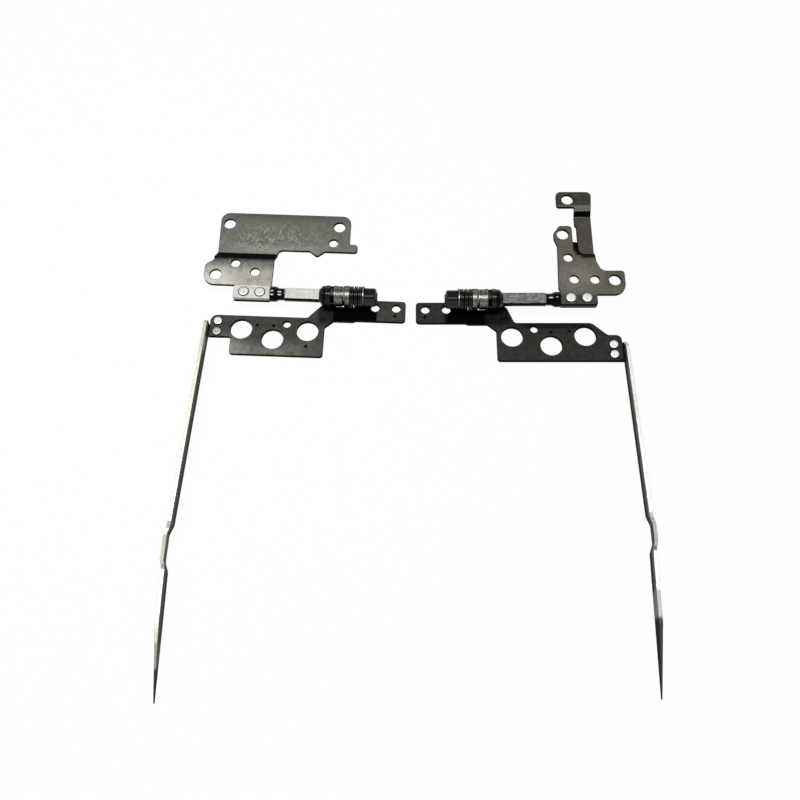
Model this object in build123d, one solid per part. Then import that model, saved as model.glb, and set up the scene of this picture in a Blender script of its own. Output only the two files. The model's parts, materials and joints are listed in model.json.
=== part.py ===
from build123d import *
import math
import os

# A pair of laptop lid hinges, laid open and flat on a table.
#
# Each hinge is drawn in a frame of its own, in millimetres: the origin is on the hinge axis, where the
# shaft's flats meet its cone, +X runs outwards along the axis towards the screen rail, +Y towards the
# base bracket and +Z up. The right hinge keeps that frame and the left one is its mirror image.

# Where the two hinges lie
PAIR_GAP = 2.67             # between the inner ends of the two hinges
HINGE_STAGGER = 1.18        # the right hinge lies this much nearer to the viewer
LEFT_LAY_ANGLE = -2.3       # the left hinge lies slightly turned, in degrees

# Sheet stock
BASE_SHEET = 0.8
DISPLAY_SHEET = 1.0
RAIL_SHEET = 0.9
BEND_RADIUS = 0.5           # inside radius of the folds

# Fits
PACK_CLEARANCE = 0.3        # from the friction pack down to the display bracket
RUNNING_CLEARANCE = 0.05    # shaft in the ear and in the fixed cam, on the radius
KEY_CLEARANCE = 0.04        # keyed washers on the shaft
SLIDE_GAP = 0.02            # between faces that slide on each other
RIVET_CLEARANCE = 0.02
LEG_CLEARANCE = 0.05        # cam legs in the notches of the ear
COLLAR_CLEARANCE = 0.3      # from the shaft's collar to the right base bracket
TINY = 0.0001               # points nearer than this count as one

# Shaft
SHAFT_RADIUS = 1.85
SHAFT_FLAT = 0.95           # from the axis to each flat
NECK_RADIUS = 1.65
NECK_LENGTH = 2.5
NECK_SLOPE = 1.0            # the part of the neck that widens to the collar
COLLAR_RADIUS = 2.1
COLLAR_LENGTH = 1.5
LEFT_FLATS_LENGTH = 9.4
RIGHT_FLATS_LENGTH = 11.65
CONE_LENGTH = 1.85
CONE_LAND = 0.9             # straight part at the cone's wide end
CONE_RADIUS = 2.75
KEY_RADIUS = 1.8            # the shaft inside the pack
KEY_FLAT = 1.25
THREAD_RADIUS = 1.4
THREAD_PROUD = 0.25         # thread that shows past the nut
PADDLE_LENGTH = 10.0        # the shaft's flattened end
PADDLE_WIDTH = 4.1
PADDLE_THICKNESS = 1.2
PADDLE_CORNER = 0.5

# Friction pack, along the axis
PACK_RADIUS = 2.9
FRICTION_WASHER = 1.2
CAM_FLANGE = 0.5
CAM_BODY = 1.75
CAM_BODY_RADIUS = 2.75
CAM_LOBE = 0.3              # height of the two lobes
CAM_LOBE_WIDTH = 3.4
CAM_GROOVE_DEPTH = 0.3
CAM_GROOVE_ROOM = 0.15      # on each side of a lobe, when it stands over the groove
CAM_LEG_WIDTH = 1.2
CAM_LEG_LENGTH = 0.85
CAM_LEG_DEPTH = 0.5
FOLLOWER = 1.65
SPRING_COUNT = 6
SPRING_STACK = 3.35
SPRING_GAP = 0.06           # between neighbouring springs
PRESSURE_WASHER = 0.5
NUT_LENGTH = 3.35
NUT_FLATS = 5.0
NUT_CHAMFER = 0.55

# Rivets
RIVET_RADIUS = 0.95
BASE_RIVET_HEAD_RADIUS = 1.3
RAIL_RIVET_HEAD_RADIUS = 1.15
RIVET_HEAD_HEIGHT = 0.28
BASE_RIVET_SPACING = 4.4

# Holes
SCREW_HOLE_RADIUS = 1.65
PIN_HOLE_RADIUS = 1.3
BOSS_HOLE_RADIUS = 2.95
LOCATING_HOLE_RADIUS = 1.05
STRIP_HOLE_RADIUS = 1.2

# Ear of the display bracket
EAR_RADIUS = 2.7
EAR_FOOT = 1.2              # the fold reaches this far past the axis, so the bridge beside it stays wide
EAR_RELIEF = 0.2            # slit between the ear's fold and the bridge

# Display brackets, the part that both share
STRIP_TOP = 0.85
STRIP_BOTTOM = -5.5
STRIP_END = -23.5
STRIP_CORNER = 1.0
STRIP_BULGE = 0.35          # extra width beside the window that the ear leaves
CHAMFER_REACH = 2.0
MAIN_INNER = -1.68
MAIN_BOTTOM = -16.9
MAIN_CORNER = 0.9
STRIP_HOLE_X = -15.15
STRIP_HOLE_Y = -1.35
STRIP_HOLE_SPACING = 5.75
LOCATING_HOLE = (8.6, -7.4)

# Stamped arrows that point at the screw holes, as (x, y, direction in degrees)
ARROW_LENGTH = 0.9
ARROW_WIDTH = 1.1
ARROW_DEPTH = 0.12
LEFT_ARROWS = [(16.75, -8.0, 0), (12.15, -8.2, 270), (3.0, -13.8, 90), (-20.7, -3.5, 90)]
RIGHT_ARROWS = [(18.1, -8.0, 0), (13.0, -8.5, 270), (-21.0, -3.5, 90)]

# Left display bracket
LEFT_MAIN_TOP = -5.2
LEFT_MAIN_OUTER = 23.5
LEFT_NECK_FOOT = 3.2
LEFT_NECK_BROW = (-0.7, -0.9)
LEFT_TAB_END = 29.5
LEFT_TAB_BOTTOM = -11.75
LEFT_TAB_CORNER = 1.9
LEFT_BOSS_HOLES = [(2.85, -9.32), (12.15, -12.08), (20.87, -9.31)]
LEFT_RAIL_RIVET_X = 27.45
LEFT_RAIL_RIVET_Y = -8.65
LEFT_RAIL_RIVET_SPACING = 3.2

# Right display bracket
RIGHT_MAIN_TOP = -5.46
RIGHT_SLOPE_TOP = 24.3
RIGHT_SLOPE_FOOT = 28.4
RIGHT_NECK_FOOT = 3.35
RIGHT_NECK_BROW = (1.5, -0.95)
RIGHT_TAB_END = 32.1
RIGHT_TAB_TOP = -9.15
RIGHT_TAB_CORNER = 1.5
RIGHT_BOSS_HOLES = [(2.48, -9.71), (12.98, -12.35), (22.33, -9.49)]
RIGHT_RAIL_RIVET_X = 29.8
RIGHT_RAIL_RIVET_Y = -13.5
RIGHT_RAIL_RIVET_SPACING = 2.95

# Left base bracket
LEFT_BASE_OUTER = 30.6
LEFT_BASE_INNER = -6.8
LEFT_BASE_TOP = 28.9
LEFT_BASE_BOTTOM = 16.85
LEFT_BASE_CORNER = 2.5
LEFT_INNER_CORNER = 1.6
LEFT_LUG_REACH = 2.3
LEFT_LUG_WIDTH = 2.6
LEFT_TOOTH_X = 2.2
LEFT_TOOTH_HALF_WIDTH = 2.1
LEFT_TOOTH_DEPTH = 1.75
LEFT_STEP_TOP = 15.2        # the step down to the table runs from here
LEFT_STEP_FOOT = 11.4       # to here
LEFT_EAR_BOTTOM = 2.6
LEFT_EAR_END = 32.35
LEFT_EAR_TOP = 9.1
LEFT_EAR_CORNER = 3.1
LEFT_SCREW_HOLES = [(27.96, 25.2), (-3.56, 25.2)]
LEFT_EAR_HOLE = (29.13, 5.8)
LEFT_UPPER_PIN_HOLE = (-2.16, 19.75)
LEFT_PIN_HOLES = [(24.0, 9.55), (18.33, 6.95)]

# Right base bracket
RIGHT_PLATE_INNER = 15.3
RIGHT_EAR_END = 33.65
RIGHT_EAR_TOP = 8.53
RIGHT_EAR_BOTTOM = 1.0
RIGHT_EAR_CORNER = 3.4
RIGHT_SHOULDER = (26.3, 11.4)
RIGHT_SHOULDER_RUN = 1.2
RIGHT_SHOULDER_HOLLOW = 2.0
RIGHT_STEP = 14.4           # the drawn step down to the strip
RIGHT_STEP_CORNER = 1.6
RIGHT_STEP_ROUND = 1.1      # rounding of the step's upper edge
RIGHT_STRIP_DROP = 1.5
RIGHT_STRIP_INNER = 21.85
RIGHT_STRIP_OUTER = 26.1
RIGHT_STRIP_NOTCH = 0.45    # the strip is wider by this much
RIGHT_STRIP_NOTCH_Y = 24.3  # from here on
RIGHT_HORN_TOP = 23.1       # the horn is the finger beside the strip
RIGHT_HORN_INNER = 15.0
RIGHT_HORN_OUTER = 20.2
RIGHT_HORN_CUT = (1.7, 2.5)
RIGHT_SLOT_BOTTOM = 17.8
RIGHT_FLAG_RISE = 1.3       # the flag is the tab at the strip's far end
RIGHT_FLAG_INNER = 16.5
RIGHT_FLAG_OUTER = 26.6
RIGHT_FLAG_BOTTOM = 29.55
RIGHT_FLAG_RELIEF = 1.1     # from the flag's lower edge to the step
RIGHT_FLAG_TOP = 34.75
RIGHT_FLAG_CORNER = 1.4
RIGHT_FLAG_STEP = 1.2
RIGHT_SCREW_HOLES = [(17.56, 20.3), (30.86, 5.55)]
RIGHT_FLAG_HOLE = (19.7, 32.15)
RIGHT_PIN_HOLES = [(18.58, 12.7), (19.76, 5.8), (25.41, 5.7)]

# Screen rails
RAIL_GAP = 0.3              # from the tab's end to the rail
RAIL_HEIGHT = 4.2
RAIL_HEAD_ROUND = 0.6
RAIL_JOG = 0.9
RAIL_JOG_RUN = 2.4
RAIL_JOG_HEIGHT = 2.9
RAIL_JOG_RADIUS = 2.5
RAIL_TAPER = 17.0
RAIL_TIP_THICKNESS = 0.25
RAIL_TIP_HEIGHT = 0.6
FOOT_MARGIN = 0.4           # the foot stays this far inside the tab
FOOT_WIDTH = 4.2
LEFT_RAIL_SPLAY = 2.1       # degrees
LEFT_RAIL_START = -7.8
LEFT_RAIL_HEAD_CUT = (0.8, 0.8)     # along the rail and down
LEFT_RAIL_JOG_START = -64.6
LEFT_RAIL_JOG_LENGTH = 7.0
LEFT_RAIL_TIP = -107.2
RIGHT_RAIL_SPLAY = 1.6
RIGHT_RAIL_START = -11.0
RIGHT_RAIL_HEAD_CUT = (2.4, 2.7)
RIGHT_RAIL_JOG_START = -59.8
RIGHT_RAIL_JOG_LENGTH = 4.6
RIGHT_RAIL_TIP = -103.8

HINGE_SPACING = PAIR_GAP - 2 * STRIP_END            # between the two hinge origins, along X

# Heights above the hinge axis
DISPLAY_TOP = -(PACK_RADIUS + PACK_CLEARANCE)
DISPLAY_BOTTOM = DISPLAY_TOP - DISPLAY_SHEET
TABLE = DISPLAY_BOTTOM - RAIL_SHEET
SANDWICH = (PADDLE_THICKNESS + BASE_SHEET) / 2      # half of the bracket and the paddle together

# Places along the axis, from the cone inwards
CONE_END = -CONE_LENGTH
EAR_OUTER = CONE_END - FRICTION_WASHER - SLIDE_GAP
EAR_INNER = EAR_OUTER - DISPLAY_SHEET
CAM_FACE = EAR_INNER - CAM_FLANGE - CAM_BODY
FOLLOWER_OUTER = CAM_FACE - CAM_LOBE - SLIDE_GAP
FOLLOWER_INNER = FOLLOWER_OUTER - FOLLOWER
SPRINGS_INNER = FOLLOWER_INNER - SPRING_STACK
PRESSURE_INNER = SPRINGS_INNER - PRESSURE_WASHER
NUT_INNER = PRESSURE_INNER - NUT_LENGTH
SHAFT_END = NUT_INNER - THREAD_PROUD
EAR_FOLD_RADIUS = min(BEND_RADIUS, 0.8 * PACK_CLEARANCE)
EAR_FOLD = EAR_OUTER + EAR_FOLD_RADIUS
WINDOW_END = EAR_INNER - (EAR_RADIUS - DISPLAY_TOP)

THROUGH = 40.0              # longer than any hole is deep


def rounded_face(corners, plane=Plane.XY):
    """Face with straight sides and rounded corners (x, y, radius); a radius is limited by its sides."""
    points = [Vector(x, y) for x, y, _ in corners]
    arcs = []
    for index, corner in enumerate(points):
        back = points[index - 1] - corner
        ahead = points[(index + 1) % len(points)] - corner
        half_angle = math.radians(back.get_angle(ahead)) / 2
        reach = corners[index][2] / math.tan(half_angle)
        reach = min(reach, 0.48 * back.length, 0.48 * ahead.length)
        radius = reach * math.tan(half_angle)
        start = corner + back.normalized() * reach
        end = corner + ahead.normalized() * reach
        inwards = (back.normalized() + ahead.normalized()).normalized()
        middle = corner + inwards * (radius / math.sin(half_angle) - radius)
        arcs.append((start, middle, end))
    edges = []
    for index, (start, middle, end) in enumerate(arcs):
        if (end - start).length > TINY:
            edges.append(ThreePointArc(start, middle, end))
        edges.append(Line(end, arcs[(index + 1) % len(arcs)][0]))
    return plane * Face(Wire(edges))


def prism(corners, start, stop, plane=Plane.XY):
    """Rounded outline carried along the plane's normal from start to stop."""
    return extrude(rounded_face(corners, plane.offset(start)), amount=stop - start, dir=plane.z_dir)


def folded_strip(line, thickness, inside_radius):
    """Corners of a strip of sheet that follows the given line of legs, with its folds rounded."""
    points = [Vector(*point) for point in line]
    legs = [(after - before).normalized() for before, after in zip(points, points[1:])]
    left_side = []
    right_side = []
    for index, point in enumerate(points):
        before = legs[max(index - 1, 0)]
        after = legs[min(index, len(legs) - 1)]
        normal = Vector(-before.Y - after.Y, before.X + after.X).normalized()
        offset = normal * (thickness / 2 / math.sqrt((1 + before.dot(after)) / 2))
        turn = before.X * after.Y - before.Y * after.X
        inside = inside_radius if turn else 0.0
        outside = inside_radius + thickness if turn else 0.0
        left = point + offset
        right = point - offset
        left_side.append((left.X, left.Y, inside if turn > 0 else outside))
        right_side.append((right.X, right.Y, outside if turn > 0 else inside))
    return left_side + right_side[::-1]


def turned(outline):
    """Solid turned about the hinge axis from an outline of (place along the axis, radius)."""
    return revolve(make_face(Polyline(*outline, close=True)), axis=Axis.X)


def bar(start, stop, radius):
    """Round bar on the hinge axis between two places."""
    return Pos((start + stop) / 2, 0, 0) * Rot(0, 90, 0) * Cylinder(radius, abs(stop - start))


def key_bar(start, stop, radius, flat):
    """Round bar on the hinge axis with two flats, one above and one below."""
    slab = Pos((start + stop) / 2, 0, 0) * Box(abs(stop - start), 4 * radius, 2 * flat)
    return bar(start, stop, radius) & slab


def drilled(solid, centres, radius):
    """The solid with upright round holes through it."""
    for x, y in centres:
        solid -= Pos(x, y, 0) * Cylinder(radius, THROUGH)
    return solid


def rivet(x, y, bottom, top, head_radius, bottom_head):
    """Upright rivet through the sheets, with a low round head on top and, if asked, one below."""
    crown = top + RIVET_HEAD_HEIGHT
    outline = [
        (RIVET_RADIUS, bottom), (RIVET_RADIUS, top), (head_radius, top), (head_radius, crown), (0, crown),
    ]
    if bottom_head:
        foot = bottom - RIVET_HEAD_HEIGHT
        outline = [(0, foot), (head_radius, foot), (head_radius, bottom), *outline]
    else:
        outline = [(0, bottom), *outline]
    return Pos(x, y, 0) * revolve(Plane.XZ * make_face(Polyline(*outline, close=True)), axis=Axis.Z)


def paddle_start(flats_length):
    """Where the shaft's flattened end begins."""
    return flats_length + NECK_LENGTH + COLLAR_LENGTH


def base_rivet_centres(flats_length):
    """Centres of the two rivets in the shaft's flattened end."""
    middle = paddle_start(flats_length) + PADDLE_LENGTH / 2
    return [(middle - BASE_RIVET_SPACING / 2, 0), (middle + BASE_RIVET_SPACING / 2, 0)]


def make_shaft(flats_length, paddle_bottom):
    """Shaft turned in one piece, with its flats milled and its outer end flattened into a paddle."""
    collar_start = flats_length + NECK_LENGTH
    paddle = paddle_start(flats_length)
    body = turned([
        (SHAFT_END, 0), (SHAFT_END, THREAD_RADIUS), (PRESSURE_INNER, THREAD_RADIUS),
        (PRESSURE_INNER, KEY_RADIUS), (CONE_END, KEY_RADIUS), (CONE_END, CONE_RADIUS),
        (CONE_END + CONE_LAND, CONE_RADIUS), (0, SHAFT_RADIUS), (flats_length, SHAFT_RADIUS),
        (flats_length, NECK_RADIUS), (collar_start - NECK_SLOPE, NECK_RADIUS), (collar_start, COLLAR_RADIUS),
        (paddle, COLLAR_RADIUS), (paddle, 0),
    ])
    for start, stop, radius, flat in [
        (PRESSURE_INNER, CONE_END, KEY_RADIUS, KEY_FLAT),
        (0, flats_length, SHAFT_RADIUS, SHAFT_FLAT),
    ]:
        body -= bar(start, stop, 2 * radius) - key_bar(start, stop, 2 * radius, flat)
    half_width = PADDLE_WIDTH / 2
    outline = [
        (paddle, -half_width, 0), (paddle + PADDLE_LENGTH, -half_width, PADDLE_CORNER),
        (paddle + PADDLE_LENGTH, half_width, PADDLE_CORNER), (paddle, half_width, 0),
    ]
    body += prism(outline, paddle_bottom, paddle_bottom + PADDLE_THICKNESS)
    return drilled(body, base_rivet_centres(flats_length), RIVET_RADIUS + RIVET_CLEARANCE)


def washer(inner_end, outer_end, radius):
    """Flat washer between two places on the axis, with its bore keyed to the shaft."""
    bore = key_bar(inner_end, outer_end, KEY_RADIUS + KEY_CLEARANCE, KEY_FLAT + KEY_CLEARANCE)
    return bar(inner_end, outer_end, radius) - bore


def make_fixed_cam():
    """Cam that turns with the ear: a flange, a body with two lobes, and two legs."""
    cam = bar(EAR_INNER - CAM_FLANGE, EAR_INNER, PACK_RADIUS)
    cam += bar(CAM_FACE, EAR_INNER - CAM_FLANGE, CAM_BODY_RADIUS)
    lobes = Pos(CAM_FACE - CAM_LOBE / 2, 0, 0) * Box(CAM_LOBE, CAM_LOBE_WIDTH, 2 * CAM_BODY_RADIUS)
    cam += lobes & bar(CAM_FACE - CAM_LOBE, CAM_FACE, CAM_BODY_RADIUS)
    cam -= bar(CAM_FACE - CAM_LOBE, EAR_INNER, KEY_RADIUS + RUNNING_CLEARANCE)
    leg_middle = EAR_RADIUS - CAM_LEG_DEPTH / 2
    for side in (-1, 1):
        cam += Pos(EAR_INNER + CAM_LEG_LENGTH / 2, side * leg_middle, 0) * Box(
            CAM_LEG_LENGTH, CAM_LEG_DEPTH, CAM_LEG_WIDTH)
    return cam


def make_cam_follower():
    """Follower keyed to the shaft, with a groove that the cam's lobes stand over when the lid is upright."""
    follower = washer(FOLLOWER_INNER, FOLLOWER_OUTER, PACK_RADIUS)
    width = CAM_LOBE_WIDTH + 2 * CAM_GROOVE_ROOM
    return follower - Pos(FOLLOWER_OUTER, 0, 0) * Box(2 * CAM_GROOVE_DEPTH, 2 * PACK_RADIUS, width)


def make_disc_springs():
    """Stack of disc springs that the nut has pressed nearly flat, with a small gap between neighbours."""
    pitch = SPRING_STACK / SPRING_COUNT
    bore = KEY_RADIUS + RUNNING_CLEARANCE
    springs = []
    for index in range(SPRING_COUNT):
        low = SPRINGS_INNER + index * pitch + SPRING_GAP / 2
        high = low + pitch - SPRING_GAP
        springs.append(bar(low, high, PACK_RADIUS) - bar(low, high, bore))
    return springs


def make_lock_nut():
    """Hexagon nut with its outer end chamfered."""
    hexagon = RegularPolygon(NUT_FLATS / 2, 6, major_radius=False)
    nut = extrude(Plane.YZ.offset(NUT_INNER) * hexagon, amount=NUT_LENGTH, dir=(1, 0, 0))
    corner = NUT_FLATS / math.sqrt(3)
    nut &= turned([
        (NUT_INNER, 0), (NUT_INNER, corner - NUT_CHAMFER), (NUT_INNER + NUT_CHAMFER, corner),
        (PRESSURE_INNER, corner), (PRESSURE_INNER, 0),
    ])
    return nut - bar(NUT_INNER, PRESSURE_INNER, THREAD_RADIUS + KEY_CLEARANCE)


def strip_holes():
    """Centres of the two screw holes in a display bracket's inner strip."""
    return [(STRIP_HOLE_X, STRIP_HOLE_Y), (STRIP_HOLE_X - STRIP_HOLE_SPACING, STRIP_HOLE_Y)]


def strip_corners(brow):
    """Corners shared by both display brackets, from the neck round the inner strip to the main plate."""
    bulge = STRIP_BOTTOM - STRIP_BULGE
    return [
        (brow[0], brow[1], 0.6), (CONE_END, EAR_RADIUS, 0), (EAR_FOLD, EAR_RADIUS, 0),
        (EAR_FOLD, -EAR_FOOT - EAR_RELIEF, 0), (WINDOW_END, -EAR_FOOT - EAR_RELIEF, 0.6),
        (WINDOW_END, STRIP_TOP, 0.6), (STRIP_END, STRIP_TOP, STRIP_CORNER),
        (STRIP_END, STRIP_BOTTOM, STRIP_CORNER), (WINDOW_END, STRIP_BOTTOM, 0.8),
        (WINDOW_END + 2 * STRIP_BULGE, bulge, 0.8), (MAIN_INNER - CHAMFER_REACH - STRIP_BULGE, bulge, 0.5),
        (MAIN_INNER, bulge - CHAMFER_REACH, 0.6), (MAIN_INNER, MAIN_BOTTOM, MAIN_CORNER),
    ]


def make_display_bracket(outline, boss_holes, rail_rivets, arrows):
    """Display bracket: a flat plate with holes and arrows, and an ear folded up from its window."""
    plate = prism(outline, DISPLAY_BOTTOM, DISPLAY_TOP)
    middle = DISPLAY_TOP - DISPLAY_SHEET / 2
    upright = EAR_OUTER - DISPLAY_SHEET / 2
    fold = folded_strip(
        [(EAR_FOLD + DISPLAY_SHEET, middle), (upright, middle), (upright, EAR_RADIUS)],
        DISPLAY_SHEET, EAR_FOLD_RADIUS)
    ear = extrude(rounded_face(fold, Plane.XZ), amount=EAR_RADIUS, both=True)
    ear_outline = [
        (-EAR_FOOT, DISPLAY_BOTTOM, 0), (EAR_RADIUS, DISPLAY_BOTTOM, 0),
        (EAR_RADIUS, 0, 0), (-EAR_FOOT, 0, 0),
    ]
    ear_span = (EAR_INNER, EAR_FOLD + DISPLAY_SHEET)
    ear &= prism(ear_outline, *ear_span, Plane.YZ) + bar(*ear_span, EAR_RADIUS)
    ear -= bar(EAR_INNER, EAR_OUTER, KEY_RADIUS + RUNNING_CLEARANCE)
    notch_depth = CAM_LEG_DEPTH + LEG_CLEARANCE
    notch_width = CAM_LEG_WIDTH + 2 * LEG_CLEARANCE
    for side in (-1, 1):
        ear -= Pos(EAR_INNER + DISPLAY_SHEET / 2, side * (EAR_RADIUS - notch_depth / 2), 0) * Box(
            DISPLAY_SHEET, notch_depth, notch_width)
    bracket = plate + ear
    arrow = [
        (-ARROW_LENGTH / 2, -ARROW_WIDTH / 2, 0), (ARROW_LENGTH / 2, 0, 0),
        (-ARROW_LENGTH / 2, ARROW_WIDTH / 2, 0),
    ]
    for x, y, direction in arrows:
        bracket -= Pos(x, y, DISPLAY_TOP) * Rot(0, 0, direction) * prism(arrow, -ARROW_DEPTH, ARROW_DEPTH)
    bracket = drilled(bracket, boss_holes, BOSS_HOLE_RADIUS)
    bracket = drilled(bracket, [LOCATING_HOLE], LOCATING_HOLE_RADIUS)
    bracket = drilled(bracket, strip_holes(), STRIP_HOLE_RADIUS)
    return drilled(bracket, rail_rivets, RIVET_RADIUS + RIVET_CLEARANCE)


def left_display_outline():
    """Outline of the left display bracket, from its rail tab round to the main plate's outer edge."""
    return [
        (LEFT_TAB_END, LEFT_TAB_BOTTOM, 0.3), (LEFT_TAB_END, LEFT_MAIN_TOP, LEFT_TAB_CORNER),
        (LEFT_NECK_FOOT, LEFT_MAIN_TOP, 0.8), *strip_corners(LEFT_NECK_BROW),
        (LEFT_MAIN_OUTER, MAIN_BOTTOM, MAIN_CORNER), (LEFT_MAIN_OUTER, LEFT_TAB_BOTTOM, 0.7),
    ]


def right_display_outline():
    """Outline of the right display bracket, whose rail tab lies lower down a slope."""
    return [
        (RIGHT_TAB_END, MAIN_BOTTOM, RIGHT_TAB_CORNER), (RIGHT_TAB_END, RIGHT_TAB_TOP, RIGHT_TAB_CORNER),
        (RIGHT_SLOPE_FOOT, RIGHT_TAB_TOP, 1.6), (RIGHT_SLOPE_TOP, RIGHT_MAIN_TOP, 2.4),
        (RIGHT_NECK_FOOT, RIGHT_MAIN_TOP, 1.2), *strip_corners(RIGHT_NECK_BROW),
    ]


def make_left_base_bracket(rivets):
    """Left base bracket: a plate on the table, a step up, and a smaller plate under the shaft's paddle."""
    paddle = paddle_start(LEFT_FLATS_LENGTH)
    tab_bottom = -PADDLE_WIDTH / 2
    lug_bottom = LEFT_BASE_BOTTOM
    outline = [
        (LEFT_BASE_OUTER, LEFT_BASE_TOP, LEFT_BASE_CORNER),
        (LEFT_BASE_INNER, LEFT_BASE_TOP, LEFT_BASE_CORNER),
        (LEFT_BASE_INNER, lug_bottom + LEFT_LUG_WIDTH, 0.4),
        (LEFT_BASE_INNER - LEFT_LUG_REACH, lug_bottom + LEFT_LUG_WIDTH, 0.9),
        (LEFT_BASE_INNER - LEFT_LUG_REACH, lug_bottom, 0.9),
        (LEFT_TOOTH_X - LEFT_TOOTH_HALF_WIDTH, LEFT_BASE_BOTTOM, 0.6),
        (LEFT_TOOTH_X, LEFT_BASE_BOTTOM - LEFT_TOOTH_DEPTH, 0.7),
        (LEFT_TOOTH_X + LEFT_TOOTH_HALF_WIDTH, LEFT_BASE_BOTTOM, 0.6),
        (paddle, LEFT_BASE_BOTTOM, LEFT_INNER_CORNER), (paddle, tab_bottom, PADDLE_CORNER),
        (paddle + PADDLE_LENGTH, tab_bottom, PADDLE_CORNER), (paddle + PADDLE_LENGTH, LEFT_EAR_BOTTOM, 0.4),
        (LEFT_EAR_END, LEFT_EAR_BOTTOM, LEFT_EAR_CORNER), (LEFT_EAR_END, LEFT_EAR_TOP, LEFT_EAR_CORNER),
        (LEFT_BASE_OUTER - 0.5, LEFT_STEP_FOOT - 1.0, 0.7),
    ]
    upper_middle = TABLE + BASE_SHEET / 2
    lower_middle = -SANDWICH + BASE_SHEET / 2
    side_line = [
        (LEFT_BASE_TOP + BASE_SHEET, upper_middle), (LEFT_STEP_TOP, upper_middle),
        (LEFT_STEP_FOOT, lower_middle), (tab_bottom - BASE_SHEET, lower_middle),
    ]
    inner_side = LEFT_BASE_INNER - 2 * LEFT_LUG_REACH
    outer_side = LEFT_EAR_END + BASE_SHEET
    folded = prism(folded_strip(side_line, BASE_SHEET, BEND_RADIUS), inner_side, outer_side, Plane.YZ)
    bracket = folded & prism(outline, TABLE - BASE_SHEET, BASE_SHEET)
    bracket = drilled(bracket, [*LEFT_SCREW_HOLES, LEFT_EAR_HOLE], SCREW_HOLE_RADIUS)
    bracket = drilled(bracket, [LEFT_UPPER_PIN_HOLE, *LEFT_PIN_HOLES], PIN_HOLE_RADIUS)
    return drilled(bracket, rivets, RIVET_RADIUS + RIVET_CLEARANCE)


def make_drawn_step(bottom, top):
    """L-shaped wall between the right bracket's plate and its lower strip, rounded along its upper edge."""
    width = BASE_SHEET + RIGHT_STEP_ROUND
    outline = [
        (RIGHT_STRIP_INNER, RIGHT_SLOT_BOTTOM, 0), (RIGHT_STRIP_INNER, RIGHT_STEP, RIGHT_STEP_CORNER),
        (RIGHT_STRIP_OUTER, RIGHT_STEP, 0), (RIGHT_STRIP_OUTER, RIGHT_STEP - width, 0),
        (RIGHT_STRIP_INNER - width, RIGHT_STEP - width, RIGHT_STEP_CORNER + width),
        (RIGHT_STRIP_INNER - width, RIGHT_SLOT_BOTTOM, 0),
    ]
    wall = prism(outline, bottom, top)
    upper = wall.edges().filter_by_position(Axis.Z, top - TINY, top + TINY)
    corner = upper.filter_by(GeomType.CIRCLE).sort_by(SortBy.RADIUS)[0]
    ends = [corner @ 0, corner @ 1]
    rounded = [
        edge for edge in upper
        if min((edge @ place - end).length for place in (0, 1) for end in ends) < TINY
    ]
    return fillet(rounded, min(RIGHT_STEP_ROUND, 0.9 * (top - bottom)))


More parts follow.
